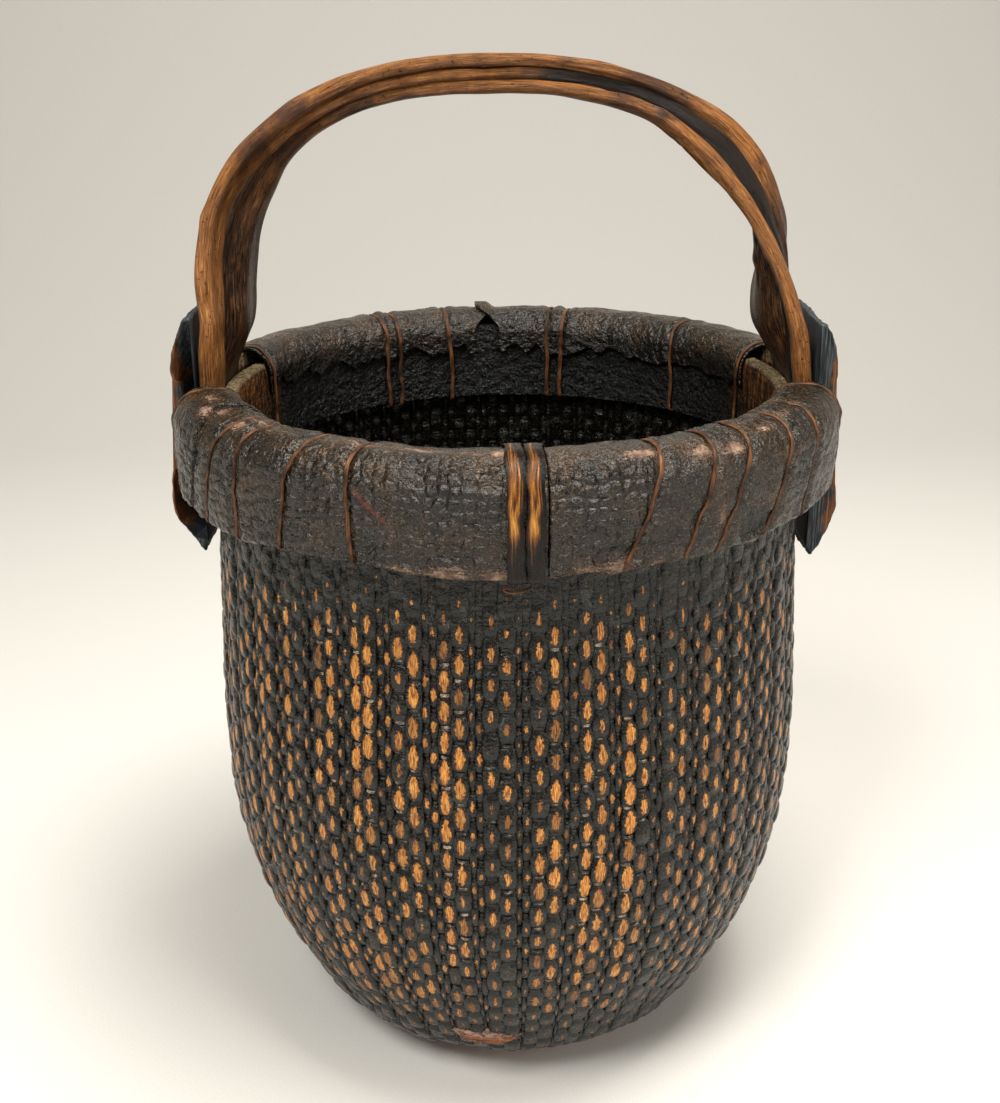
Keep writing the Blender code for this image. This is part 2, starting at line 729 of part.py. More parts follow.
def make_blocks(group, peg_cutters, finish):
    """The carved block outside each pair of legs: a lobe above the rim, a waist and a tail."""
    for name, side in SIDES:
        lift = -side * BLOCK_LIFT
        bottom = RIM_TOP + BLOCK_ABOVE_RIM - BLOCK_HEIGHT + lift
        data = bpy.data.curves.new("side_block_" + name, "CURVE")
        data.dimensions = "2D"
        data.fill_mode = "BOTH"
        data.extrude = BLOCK_WIDTH / 2
        spline = data.splines.new("POLY")
        spline.points.add(len(BLOCK_OUTLINE_SHARES) - 1)
        for point, (out, up) in zip(spline.points, BLOCK_OUTLINE_SHARES):
            point.co = (side * (BLOCK_FACE + BLOCK_DEPTH * out), bottom + BLOCK_HEIGHT * up, 0, 1)
        spline.use_cyclic_u = True
        guide = linked("block_outline_" + name, data, group)
        guide.location.y = HANDLE_OFFSET
        guide.rotation_euler.x = math.pi / 2
        block = made_mesh("side_block_" + name, guide, group, finish)
        weigh_rims(block.data)
        rounded = block.modifiers.new("rounded", "BEVEL")
        rounded.width = BLOCK_BEVEL
        rounded.segments = 1
        rounded.limit_method = "WEIGHT"
        cut_all(block, peg_cutters)


def peg_cylinder(name, start, end, across, radius, group, finish=None):
    """A cylinder along X between two reaches."""
    shape = bmesh.new()
    bmesh.ops.create_cone(
        shape,
        cap_ends=True,
        segments=PEG_SIDES,
        radius1=radius,
        radius2=radius,
        depth=abs(end - start),
        matrix=Matrix.Translation(((start + end) / 2, across, PEG_HEIGHT))
        @ Matrix.Rotation(math.pi / 2, 4, "Y"),
    )
    return smooth(mesh_object(name, shape, group, finish))


def peg_face():
    """How far out the block's waist lies where the pegs are driven in."""
    low, high = WAIST_SHARES
    depths = [out for out, up in BLOCK_OUTLINE_SHARES if low < up < high]
    return BLOCK_FACE + BLOCK_DEPTH * min(depths)


def make_pegs(group, peg_cutters, finish):
    """A peg through the block and each branch's leg, into the inner hoop."""
    for side_name, side in SIDES:
        for which, name in enumerate(("front", "middle", "back")):
            along = branch_place(which, 0 if side < 0 else 1)[0]
            across = HANDLE_OFFSET + (along if side < 0 else -along)
            end = math.sqrt(HOOP_OUTER_RADIUS**2 - across**2) - PEG_BITE
            label = f"{name}_{side_name}"
            peg_cylinder(
                "peg_" + label, side * peg_face(), side * end, across, PEG_RADIUS, group, finish
            )
            hole = peg_cylinder(
                "hole_" + label,
                side * (peg_face() + OVERRUN),
                side * (end - GAP),
                across,
                PEG_RADIUS + GAP,
                peg_cutters,
            )
            as_cutter(hole)


def make_basket():
    clear_scene()
    parts = collection("rice_basket")
    helpers = collection("cutters")
    body_cutters = collection("body_cutters")
    peg_cutters = collection("peg_cutters")
    weave = material("lacquered_willow_weave", (0.035, 0.028, 0.022), 0.4)
    bent_wood = material("bent_hoop_wood", (0.16, 0.11, 0.06), 0.6)
    split_wood = material("split_batten_wood", (0.22, 0.10, 0.05), 0.7)
    sheet = material("bark_sheet", (0.045, 0.038, 0.032), 0.45)
    cane = material("lacing_cane", (0.17, 0.08, 0.04), 0.5)
    strap_cane = material("strap_cane", (0.35, 0.18, 0.06), 0.5)
    branch = material("handle_branch_wood", (0.25, 0.11, 0.035), 0.4)
    carved = material("carved_block_wood", (0.06, 0.05, 0.045), 0.5)
    make_foot(parts, helpers, body_cutters, bent_wood, split_wood)
    make_cane(parts, body_cutters, cane, strap_cane)
    make_pegs(parts, peg_cutters, bent_wood)
    make_handle(parts, peg_cutters, body_cutters, branch)
    make_hoops(parts, peg_cutters, bent_wood)
    make_covers(parts, sheet)
    make_blocks(parts, peg_cutters, carved)
    make_body(parts, body_cutters, weave)


make_basket()
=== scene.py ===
# %% [markdown]
# # Dressing a rice basket
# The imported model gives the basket's plain solids, one for each real piece. This lesson puts the
# maker's detail on them: rods and cords, a rim wrapped in lacquered sheets, split cane, and a
# handle of three twisted branches. The frame is loaded first, because every piece is made where
# its solid stands.

# %% Load the frame
import functools
import json
import math

import bpy
import numpy as np
from mathutils import Matrix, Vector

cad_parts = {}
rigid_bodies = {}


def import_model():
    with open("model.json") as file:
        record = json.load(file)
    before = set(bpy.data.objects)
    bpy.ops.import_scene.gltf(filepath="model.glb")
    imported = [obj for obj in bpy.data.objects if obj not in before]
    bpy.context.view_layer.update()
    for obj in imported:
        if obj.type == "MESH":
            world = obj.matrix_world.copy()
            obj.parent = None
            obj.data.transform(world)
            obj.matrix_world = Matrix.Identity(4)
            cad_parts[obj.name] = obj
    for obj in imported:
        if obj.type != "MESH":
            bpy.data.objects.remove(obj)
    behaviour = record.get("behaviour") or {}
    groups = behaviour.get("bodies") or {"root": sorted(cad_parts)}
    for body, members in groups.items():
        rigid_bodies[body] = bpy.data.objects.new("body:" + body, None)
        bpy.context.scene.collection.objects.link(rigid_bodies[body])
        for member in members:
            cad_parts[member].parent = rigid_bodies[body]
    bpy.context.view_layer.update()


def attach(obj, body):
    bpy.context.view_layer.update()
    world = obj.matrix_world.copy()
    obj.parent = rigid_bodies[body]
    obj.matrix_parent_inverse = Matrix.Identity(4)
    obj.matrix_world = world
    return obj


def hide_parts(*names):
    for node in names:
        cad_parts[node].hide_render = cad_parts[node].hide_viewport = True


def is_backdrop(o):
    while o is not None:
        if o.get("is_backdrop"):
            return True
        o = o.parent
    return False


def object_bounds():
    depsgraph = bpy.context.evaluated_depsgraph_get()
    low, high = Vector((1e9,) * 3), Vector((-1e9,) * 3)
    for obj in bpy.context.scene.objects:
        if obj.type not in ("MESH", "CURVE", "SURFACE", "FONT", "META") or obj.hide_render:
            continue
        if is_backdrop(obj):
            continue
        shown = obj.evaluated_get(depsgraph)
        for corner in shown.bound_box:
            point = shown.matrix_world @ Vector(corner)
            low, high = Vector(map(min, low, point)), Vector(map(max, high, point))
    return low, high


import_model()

# %% [markdown]
# ## Picking, bending and measuring
# An operator works on whatever is selected, so one helper leaves only the named objects selected.
# Another adds a flat grid and hands back each corner's place in it, from 0 to 1 both ways. Most
# pieces here are bent from such a grid: weaving, wrapping and lashing all start from something
# flat or straight. The function ripples makes smooth, seeded unevenness from crossing waves,
# because nothing on a handmade basket is straight.

# %% Helpers for shaping


def pick(*chosen):
    """Leaves only these objects selected, with the last one active."""
    if bpy.context.mode != "OBJECT":
        bpy.ops.object.mode_set(mode="OBJECT")
    bpy.ops.object.select_all(action="DESELECT")
    for one in chosen:
        one.select_set(True)
    if chosen:
        bpy.context.view_layer.objects.active = chosen[-1]


def edit(piece, *steps):
    """Runs edit mode operators on the whole of a piece."""
    pick(piece)
    bpy.ops.object.mode_set(mode="EDIT")
    bpy.ops.mesh.select_all(action="SELECT")
    for step, settings in steps:
        getattr(bpy.ops.mesh, step)(**settings)
    bpy.ops.object.mode_set(mode="OBJECT")


def flat_grid(name, columns, rows):
    """A grid of that many faces, and each corner's place in it."""
    pick()
    bpy.ops.mesh.primitive_grid_add(x_subdivisions=columns, y_subdivisions=rows, size=1)
    piece = bpy.context.object
    piece.name = piece.data.name = name
    across, along = corners(piece)[:, :2].T + 0.5
    return piece, across, along


def corners(piece):
    """The places of all corners of a mesh."""
    flat = np.empty(3 * len(piece.data.vertices))
    piece.data.vertices.foreach_get("co", flat)
    return flat.reshape(-1, 3)


def bend(piece, places):
    """Moves every corner to its place."""
    piece.data.vertices.foreach_set("co", np.ascontiguousarray(places, dtype=float).ravel())
    piece.data.update()


def mark(piece, name, values):
    """Keeps one number for each corner, for a material to read."""
    kept = piece.data.attributes.new(name, "FLOAT", "POINT")
    kept.data.foreach_set("value", np.ascontiguousarray(values, dtype=float))


def chart(piece, name, u, v):
    """Adds a UV map from two numbers for each corner of each face."""
    made = piece.data.uv_layers.new(name=name)
    made.data.foreach_set("uv", np.column_stack((u, v)).astype(float).ravel())


def grid_chart(piece):
    """The grid's own UV map, as two arrays."""
    flat = np.empty(2 * len(piece.data.loops))
    piece.data.uv_layers[0].data.foreach_get("uv", flat)
    return flat.reshape(-1, 2).T


def smooth_tube(piece, *steps):
    """Welds a tube's seam, turns its faces outwards and shades it smooth."""
    edit(
        piece, ("remove_doubles", {"threshold": 1e-6}), *steps,
        ("normals_make_consistent", {"inside": False}),
    )
    bpy.ops.object.shade_smooth()


def thicken(piece, thickness):
    """Makes a bent sheet solid, with its thickness on the inner side."""
    pick(piece)
    bpy.ops.object.modifier_add(type="SOLIDIFY")
    shell = piece.modifiers[-1]
    shell.thickness = thickness
    bpy.ops.object.modifier_apply(modifier=shell.name)


def ripples(places, size, seed, count=7):
    """Smooth unevenness of about -1 to 1, in waves about one size long."""
    chance = np.random.default_rng(seed)
    total = 0
    for _ in range(count):
        way = chance.normal(size=places.shape[-1])
        way *= chance.uniform(0.6, 1.5) * 2 * math.pi / size / np.linalg.norm(way)
        total = total + np.sin(places @ way + chance.uniform(0, 2 * math.pi))
    return total / count * 1.7


def uneven(places, *waves):
    """Ripples of several sizes together. Each has its height, its size and its seed."""
    return sum(height * ripples(places, size, seed) for height, size, seed in waves)


def hump(value, centre, reach):
    """1 at the centre, falling smoothly to 0 within about twice the reach."""
    return np.exp(-(((value - centre) / reach) ** 2))


def rise(value, low, high):
    """0 below low, 1 above high, and a smooth step between."""
    share = np.clip((value - low) / (high - low), 0, 1)
    return share * share * (3 - 2 * share)


def follow(points, soften, closed=False, step=0.0005):
    """Even steps along a bent line in (radius, height), its corners softened, and its outward side."""
    points = np.array(points, float)
    if closed:
        points = np.vstack((points, points[:1]))
    lengths = np.concatenate(([0], np.cumsum(np.linalg.norm(np.diff(points, axis=0), axis=1))))
    even = np.linspace(0, lengths[-1], int(lengths[-1] / step) + 1)
    line = np.column_stack([np.interp(even, lengths, points[:, axis]) for axis in (0, 1)])
    half = int(soften / step / 2)
    if closed:
        line = line[:-1]
        padded = np.vstack((line[-half:], line, line[:half]))
    else:
        padded = np.vstack(
            (2 * line[0] - line[half:0:-1], line, 2 * line[-1] - line[-2 : -half - 2 : -1])
        )
    weights = np.ones(2 * half + 1) / (2 * half + 1)
    line = np.column_stack([np.convolve(padded[:, axis], weights, "valid") for axis in (0, 1)])
    ahead = np.roll(line, -1, 0) - np.roll(line, 1, 0) if closed else np.gradient(line, axis=0)
    ahead /= np.linalg.norm(ahead, axis=1, keepdims=True)
    side = np.column_stack((ahead[:, 1], -ahead[:, 0]))
    length = np.linspace(0, lengths[-1], len(line), endpoint=not closed)
    return {"length": length, "line": line, "side": side, "whole": lengths[-1], "closed": closed}


def on_line(line, length):
    """Radius, height and outward side at lengths along a followed line."""
    if line["closed"]:
        length = length % line["whole"]
    found = [np.interp(length, line["length"], line["line"][:, axis]) for axis in (0, 1)]
    found += [np.interp(length, line["length"], line["side"][:, axis]) for axis in (0, 1)]
    return found


def around(radius, azimuth, height):
    """Places on a turned shape."""
    return np.column_stack((radius * np.cos(azimuth), radius * np.sin(azimuth), height))


print("helpers ready")

# %% [markdown]
# ## The photograph's camera
# The basket is seen from the front and a little above. A 50 mm lens from eighty centimetres away
# gives the same perspective as the photograph. The camera is placed by numbers that were fitted
# to the rim, the foot and the handle.

# %% Camera
CAMERA_PLACE = (-0.0045, -0.7959, 0.6012)
CAMERA_PITCH = 0.3682
CAMERA_ROLL = -0.0104
CAMERA_LENS = 50.4

lens = bpy.data.cameras.new("photo_view")
lens.sensor_fit = "HORIZONTAL"
lens.sensor_width = 36
lens.lens = CAMERA_LENS
lens.clip_start = 0.01
camera = bpy.data.objects.new("photo_view", lens)
bpy.context.scene.collection.objects.link(camera)
camera.matrix_world = (
    Matrix.Translation(CAMERA_PLACE)
    @ Matrix.Rotation(math.pi / 2 - CAMERA_PITCH, 4, "X")
    @ Matrix.Rotation(CAMERA_ROLL, 4, "Z")
)
bpy.context.scene.camera = camera
bpy.context.scene.view_settings.view_transform = "Standard"
print("camera", [round(value, 3) for value in camera.location], "lens", lens.lens)

# %% [markdown]
# ## Building a finish from nodes
# Every material is a small graph of nodes. One function adds a node with its settings and its
# links, so that each material below reads as a recipe. Paint colours are written as sRGB hex and
# turned to linear light once.

# %% Helpers for materials
def paint(code):
    """An sRGB hex colour as linear light."""
    parts = [int(code[at : at + 2], 16) / 255 for at in (0, 2, 4)]
    linear = [part / 12.92 if part < 0.04045 else ((part + 0.055) / 1.055) ** 2.4 for part in parts]
    return (*linear, 1)


def node(tree, kind, inputs=None, stops=None, out=0, **settings):
    """Adds a node with its settings, values and links. Gives back one output, or all for None."""
    made = tree.nodes.new("ShaderNode" + kind)
    for name, value in settings.items():
        setattr(made, name, value)
    for name, value in (inputs or {}).items():
        if isinstance(value, bpy.types.NodeSocket):
            tree.links.new(value, made.inputs[name])
        else:
            made.inputs[name].default_value = value
    for index, (place, shade) in enumerate(stops or ()):
        ramp = made.color_ramp.elements
        stop = ramp[index] if index < 2 else ramp.new(place)
        stop.position = place
        stop.color = paint(shade) if isinstance(shade, str) else (shade, shade, shade, 1)
    return made.outputs if out is None else made.outputs[out]


def new_finish(name):
    """A material with only the standard shader, and the node function bound to its tree."""
    made = bpy.data.materials.new(name)
    made.use_nodes = True
    return made, functools.partial(node, made.node_tree)


def streaks(add, place, scale, detail, rough, location=(0, 0, 0), **more):
    """Noise drawn out along the grain, with a scale for each axis."""
    drawn = add("Mapping", {"Vector": place, "Scale": scale, "Location": location})
    return add("TexNoise", {"Vector": drawn, "Scale": 1, "Detail": detail, "Roughness": rough, **more})


# Old lacquer under dust and wax mirrors less than a clean film, which has 1.5
DUSTY_IOR = 1.32


def coat(finish, skin, rough, relief, depth, strength=1.0, ior=1.5):
    """Gives the shader its colour, its roughness and bumps of that depth."""
    tree = finish.node_tree
    shader = tree.nodes["Principled BSDF"]
    bumps = node(tree, "Bump", {"Height": relief, "Strength": strength, "Distance": depth})
    for name, value in (("Base Color", skin), ("Roughness", rough), ("Normal", bumps)):
        tree.links.new(value, shader.inputs[name])
    shader.inputs["IOR"].default_value = ior
    return finish


def dress(piece, finish, slot, *nodes):
    """Gives a piece its finish and hides the solids that it stands for. The slot is not used."""
    piece.data.materials.clear()
    piece.data.materials.append(finish)
    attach(piece, "root")
    if nodes:
        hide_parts(*nodes)
    print(piece.name, len(piece.data.polygons), "faces")


print("paint helper, black body:", [round(part, 4) for part in paint("1C1C1A")])

# %% [markdown]
# ## The wall's rods
# The wall is thick willow rods, packed side by side and bound by cords that pass over one rod and
# under the next. Each rod swells between two cords and dips under each. Two wide rods stand out
# as a rib, and two narrow ones lie in the valley beside them. One rod could be cut from a tube by
# hand for each place, but all of them share one path, so one tube is bent 180 times, with its own
# width, waves and wear.

# %% The line that the rods follow
WALL_POINTS = (
    (0.1055, 0.0083), (0.1193, 0.0195), (0.1297, 0.0302), (0.1366, 0.0423), (0.1423, 0.0551),
    (0.1514, 0.0720), (0.1588, 0.0901), (0.1661, 0.1140), (0.1718, 0.1400), (0.1747, 0.1698),
    (0.1753, 0.1999), (0.1744, 0.2301), (0.17285, 0.2602), (0.1713, 0.2902), (0.17004, 0.3201),
    (0.1694, 0.3450), (0.1694, 0.3720),
)
WALL_THICKNESS = 0.0071
MEAN_RADIUS = 0.17
ROD_TOP = 0.3720
NOTCH_TOP = 0.3335
HANDLE_Y = 0.0040
NOTCH_HALF = 0.0445

wall = follow(WALL_POINTS, 0.012)
print("rod length in mm:", round(1000 * wall["whole"], 1))

# %% One rod, bent at its place
GROUPS = 45
# A group starts where the solid's valley is centred: half the valley, rib, rib, half the valley
FIRST_VALLEY = math.radians(-176)
ROD_SHARES = np.array(((1.33, 1.27, 0.72, 0.68), (1.76, 1.72, 0.28, 0.24)))
BUMP = 0.0172
DIP = 0.0019
SWELL = 0.00055
FILLED_HEIGHTS = (0.296, 0.332)
BUMPS_AT_MOST = 40
ROD_ROWS = 176
# Where the long batten's ends leave no room for rods
FOOT_RADIUS, BATTEN_SPAN, ABOVE_BATTEN = 0.104, (-0.0375, 0.0045), 0.0185
# The rod's outline: its place across, the drop from its crown as a share of FILL, and the rise
# from its inner face. Lacquer has filled the gaps, so only .9 mm of each side shows
FILL = 0.0009
ROD_OUTLINE = np.array((
    (1.00, 1.00, 0), (0.68, 0.34, 0), (0.25, 0.02, 0), (-0.25, 0.02, 0), (-0.68, 0.34, 0),
    (-1.00, 1.00, 0), (-0.86, 0, 0.0009), (-0.38, 0, 0.00001), (0.38, 0, 0.00001), (0.86, 0, 0.0009),
))
ROD_SIDES = len(ROD_OUTLINE)

chance = np.random.default_rng(20)
RODS = 4 * GROUPS
EDGE_JITTER = chance.uniform(-0.10, 0.10, RODS + 1)
EDGE_JITTER[-1] = EDGE_JITTER[0]
IS_WIDE = np.arange(RODS) % 4 < 2
PROUD = np.where(IS_WIDE, 0.0003, -0.0008) + chance.normal(0, 0.00025, RODS)
BUMP_HEIGHT = chance.normal(0, 0.00024, (RODS, BUMPS_AT_MOST))
BUMP_SHIFT = chance.normal(0, 0.035, RODS)


def rod_edges(number, length):
    """The azimuth at which a rod starts, along its length."""
    spread = rise(length, 0.02, 0.13)
    shares = ROD_SHARES[0] * spread[:, None] + ROD_SHARES[1] * (1 - spread[:, None])
    inside = np.concatenate((np.zeros((len(length), 1)), np.cumsum(shares, axis=1)), axis=1)
    narrow = shares[:, 2:].sum(axis=1) / 2
    place = 4 * (number // 4) + narrow + inside[:, number % 4]
    place = place + EDGE_JITTER[number] * (0.3 + 0.7 * spread)
    azimuth = FIRST_VALLEY + 2 * math.pi * place / RODS
    spot = around(MEAN_RADIUS, azimuth, 0.7 * length)
    return azimuth + 0.0060 * ripples(spot, 0.10, 31)


def rod_length(number):
    """Rods that meet the handle's legs end below them."""
    side = WALL_POINTS[-1][0] * math.sin(FIRST_VALLEY + 2 * math.pi * (number + 0.5) / RODS)
    notched = abs(side - HANDLE_Y) < NOTCH_HALF
    return wall["whole"] - (ROD_TOP - NOTCH_TOP if notched else 0)


def rod_span(number, along):
    """Lengths along a rod. Rods over the ends of the long batten start above it."""
    azimuth = FIRST_VALLEY + 2 * math.pi * (number + 0.5) / RODS
    beside, least, most = FOOT_RADIUS * math.cos(azimuth), *BATTEN_SPAN
    over_batten = least < beside < most and abs(math.sin(azimuth)) > 0.8
    start = ABOVE_BATTEN + 0.0012 * math.sin(5.1 * number) if over_batten else 0
    return start + along * (rod_length(number) - start)


def rod_phase(number, length):
    """Whole numbers are the places where a cord crosses outside the rod."""
    return length / BUMP + 0.5 * (number % 2) + BUMP_SHIFT[number] * rise(length, 0.0, 0.03)


def rod_places(number, turn, along):
    """Every corner of one rod, bent to its place in the weave."""
    length = rod_span(number, along)
    radius, height, out, up = on_line(wall, length)
    first, last = rod_edges(number, length), rod_edges(number + 1, length)
    phase = rod_phase(number, length)
    beat = phase - np.floor(phase)
    near = np.minimum(beat, 1 - beat)
    dip = DIP * hump(near, 0, 0.10)
    swell = SWELL * (1 - (2 * beat - 1) ** 2)
    index = np.clip(np.floor(phase).astype(int), 0, BUMPS_AT_MOST - 1)
    own = BUMP_HEIGHT[number][index] * (1 - hump(near, 0, 0.2))
    spot = around(radius, first, height)
    # Under the front of the rim the lacquer lies so thick that the weave hardly shows
    filled = rise(height, *FILLED_HEIGHTS) * (0.35 + 0.5 * hump(np.degrees(first), -90, 42))
    outer = (PROUD[number] + swell - dip + own) * (1 - filled)
    outer += uneven(spot, (0.0004, 0.03, 32), (0.00016, 0.007, 34))
    inner = -WALL_THICKNESS + hump(np.abs(beat - 0.5), 0, 0.10) * DIP - 0.0002
    across, drop, inward = ROD_OUTLINE[np.round(turn * ROD_SIDES).astype(int) % ROD_SIDES].T
    half = (last - first) / 2 * (1.20 - 0.13 * hump(near, 0, 0.22))
    lift = np.where(inward > 0, inner + inward, outer - FILL * drop * (1 - 0.7 * filled))
    return around(radius + lift * out, (first + last) / 2 + half * across, height + lift * up)


STRAP_AZIMUTH = math.radians(-87.6)
ROD_WEAR = np.where(
    IS_WIDE, chance.uniform(0.86, 1.06, RODS), chance.uniform(0.34, 0.66, RODS)
) * np.where(chance.uniform(size=RODS) < 0.08, 0.6, 1)
# How much each side of the basket was rubbed, by azimuth in degrees
RUBBED_SIDES = np.array((
    (-180, 0.72), (-150, 0.82), (-124, 1.00), (-105, 1.04), (-99, 0.95), (-95, 0.66), (-90, 0.74),
    (-86, 0.88), (-83, 1.12), (-75, 1.12), (-69, 1.02), (-62, 0.82), (-50, 0.78), (-35, 0.74),
    (0, 0.66), (60, 0.84), (120, 0.90), (180, 0.72),
))


def rod_wear(number, turn, along):
    """How far the varnish has worn off, from 0 to 1."""
    length = rod_span(number, along)
    height = on_line(wall, length)[1]
    azimuth = rod_edges(number, length)
    spot = around(MEAN_RADIUS, azimuth, height)
    level = (0.30 + 0.70 * rise(height, 0.030, 0.095)) * (1 - 0.9 * rise(height, 0.300, 0.345))
    level *= 0.96 + 0.12 * ripples(spot, 0.12, 33)
    level *= np.interp((np.degrees(azimuth) + 180) % 360 - 180, *RUBBED_SIDES.T)
    outside = (turn > 0.01) & (turn < 0.49)
    return np.clip(level * ROD_WEAR[number], 0, 1.15) * outside + 0.02


rod, rod_turn, rod_along = flat_grid("one_rod", ROD_SIDES, ROD_ROWS)
bend(rod, rod_places(0, rod_turn, rod_along))
rod_u, rod_v = grid_chart(rod)
print("one rod:", len(rod.data.polygons), "faces")

# %% [markdown]
# ## Copying the rod
# Each rod is a copy with a mesh of its own, bent to its number. Two UV maps go with it. The map
# called weave counts rods one way and bumps the other, so the varnish can wear off bump by bump.
# The map called OFBake lays the rods side by side in a square, which is a neat sheet for anyone
# who bakes the finish. The rods are joined into four quarters, which keeps each mesh light.

# %% All the rods, in four quarters


def twin(piece, name):
    """A copy with a mesh of its own."""
    made = piece.copy()
    made.data = piece.data.copy()
    made.name = made.data.name = name
    bpy.context.scene.collection.objects.link(made)
    return made


def join(name, parts):
    """Makes one object of several."""
    pick(*parts)
    bpy.ops.object.join()
    made = bpy.context.object
    made.name = made.data.name = name
    return made


def close_tube(piece):
    """Welds a tube's seam, closes its ends and turns its faces outwards."""
    smooth_tube(piece, ("fill_holes", {"sides": 0}))


across_rod = 0.5 + 0.5 * ROD_OUTLINE[np.round(rod_u * ROD_SIDES).astype(int) % ROD_SIDES, 0]
quarters = []
for quarter in range(4):
    parts = []
    for index in range(GROUPS):
        number = quarter * GROUPS + index
        one = twin(rod, f"rod_{number:03d}")
        bend(one, rod_places(number, rod_turn, rod_along))
        mark(one, "worn", rod_wear(number, rod_turn, rod_along))
        chart(one, "weave", number + 0.001 + 0.998 * across_rod, rod_phase(number, rod_span(number, rod_v)))
        chart(one, "OFBake", (index + 0.05 + 0.9 * rod_u) / GROUPS, 0.002 + 0.996 * rod_v)
        parts.append(one)
    made = join(f"willow_rods_{quarter + 1}", parts)
    close_tube(made)
    quarters.append(made)
bpy.data.objects.remove(rod)
print("rods:", sum(len(made.data.polygons) for made in quarters), "faces")

# %% [markdown]
# ## The cords that bind the rods
# A hemp cord runs round the basket in rings, over one rod and under the next, and the next ring
# does the opposite. At the dips it shows as a pale bar where the varnish is gone. One ring is
# bent from a tube with few sides and copied, because forty rings of many faces would be heavy.
# The rings are joined into a low and a high half, and take their paleness from the rods' wear.

# %% Rings of cord
CORD_TALL, CORD_THICK = 0.0022, 0.0014
CORD_SIDES = 6
CORD_STEPS = 4 * RODS
CORD_TOP = 0.348

ring, ring_along, ring_turn = flat_grid("one_cord", CORD_STEPS, CORD_SIDES)


def ring_places(row):
    """Every corner of one ring of cord."""
    length = BUMP * row / 2
    place = ring_along * RODS
    numbers = np.clip(np.floor(place).astype(int), 0, RODS - 1)
    share = place - numbers
    starts = np.array([rod_edges(number, np.array([length]))[0] for number in range(RODS)])
    starts = np.append(starts, starts[0] + 2 * math.pi)
    azimuth = starts[numbers] + share * (starts[numbers + 1] - starts[numbers])
    outside = np.where((numbers + row) % 2 == 0, 1.0, -1.0)
    swing = outside * np.sin(math.pi * share) ** 0.6
    middle = -WALL_THICKNESS / 2
    reach = WALL_THICKNESS / 2 - DIP + 0.00080
    proud = np.where(outside > 0, PROUD[numbers], 0)
    level = np.full_like(azimuth, length)
    drift = 0.0006 * ripples(around(MEAN_RADIUS, azimuth, level), 0.02, 50 + row)
    radius, height, out, up = on_line(wall, level + drift)
    lift = middle + (reach + proud) * swing
    angle = 2 * math.pi * ring_turn
    lift = lift + CORD_THICK / 2 * np.cos(angle)
    slide = CORD_TALL / 2 * np.sin(angle)
    return around(radius + lift * out - slide * up, azimuth, height + lift * up + slide * out)


ring_u, ring_v = grid_chart(ring)
ring_numbers = np.clip(np.floor(ring_along * RODS).astype(int), 0, RODS - 1)
parts = []
row = 2
while on_line(wall, np.array([BUMP * row / 2]))[1][0] < CORD_TOP:
    one = twin(ring, f"cord_{row:02d}")
    bend(one, ring_places(row))
    wear = [
        rod_wear(number, np.array([0.25]), np.array([BUMP * row / 2 / rod_length(number)]))[0]
        for number in range(RODS)
    ]
    mark(one, "worn", np.array(wear)[ring_numbers] * IS_WIDE[ring_numbers])
    chart(one, "lay", ring_u * RODS, ring_v)
    parts.append(one)
    row += 1
bpy.data.objects.remove(ring)
half = len(parts) // 2
cords = []
for name, some in (("binding_cords_low", parts[:half]), ("binding_cords_high", parts[half:])):
    made = join(name, some)
    smooth_tube(made)
    cords.append(made)
print("rings of cord:", row - 2)

# %% [markdown]
# ## The woven floor
# The floor is the same weave laid flat inside the foot. Straight rods run from front to back,
# each as long as the round foot is wide there, with the same dips and swells.

# %% Floor rods
FLOOR_RADIUS = 0.1165
FLOOR_HEIGHT = 0.0237
FLOOR_THICKNESS = 0.0064
FLOOR_DIP = 0.0016
FLOOR_RODS = 28

parts = []
pitch = 2 * FLOOR_RADIUS / FLOOR_RODS
bar, bar_turn, bar_along = flat_grid("one_floor_rod", 8, 60)
bar_u, bar_v = grid_chart(bar)
for number in range(FLOOR_RODS):
    x = -FLOOR_RADIUS + pitch * (number + 0.5)
    reach = math.sqrt(FLOOR_RADIUS**2 - (abs(x) - pitch / 4) ** 2)
    y = (2 * bar_along - 1) * reach
    phase = y / BUMP + 0.5 * (number % 2)
    beat = phase - np.floor(phase)
    dip = hump(np.minimum(beat, 1 - beat), 0, 0.11)
    under = hump(np.abs(beat - 0.5), 0, 0.11)
    cos, sin = np.cos(2 * math.pi * bar_turn), np.sin(2 * math.pi * bar_turn)
    top = FLOOR_THICKNESS / 2 - FLOOR_DIP * dip
    bottom = -FLOOR_THICKNESS / 2 + FLOOR_DIP * under
    lift = (top + bottom) / 2 + (top - bottom) / 2 * sin
    one = twin(bar, f"floor_rod_{number:02d}")
    bend(one, np.column_stack((x + 0.49 * pitch * cos, y, FLOOR_HEIGHT + lift)))
    mark(one, "worn", np.full(len(y), 0.05))
    over_bar = 200 + number + 0.5 + 0.49 * np.cos(2 * math.pi * bar_u)
    chart(one, "weave", over_bar, (2 * bar_v - 1) * reach / BUMP)
    chart(one, "OFBake", (number + 0.05 + 0.9 * bar_u) / FLOOR_RODS, 0.002 + 0.996 * bar_v)
    parts.append(one)
bpy.data.objects.remove(bar)
floor_rods = join("floor_rods", parts)
close_tube(floor_rods)
print("floor rods:", FLOOR_RODS)

# %% [markdown]
# ## Varnished willow
# Old willow under many coats of black lacquer, rubbed by hands and by the ground. The lacquer
# stays in the hollows and comes off the crown of each bump, so golden wood shows as ovals. The
# weave map tells the nodes which bump a point is on and how far it lies from the crown. Noise
# ruffles the edge of each oval, and a random number for each bump makes it large, small or none.

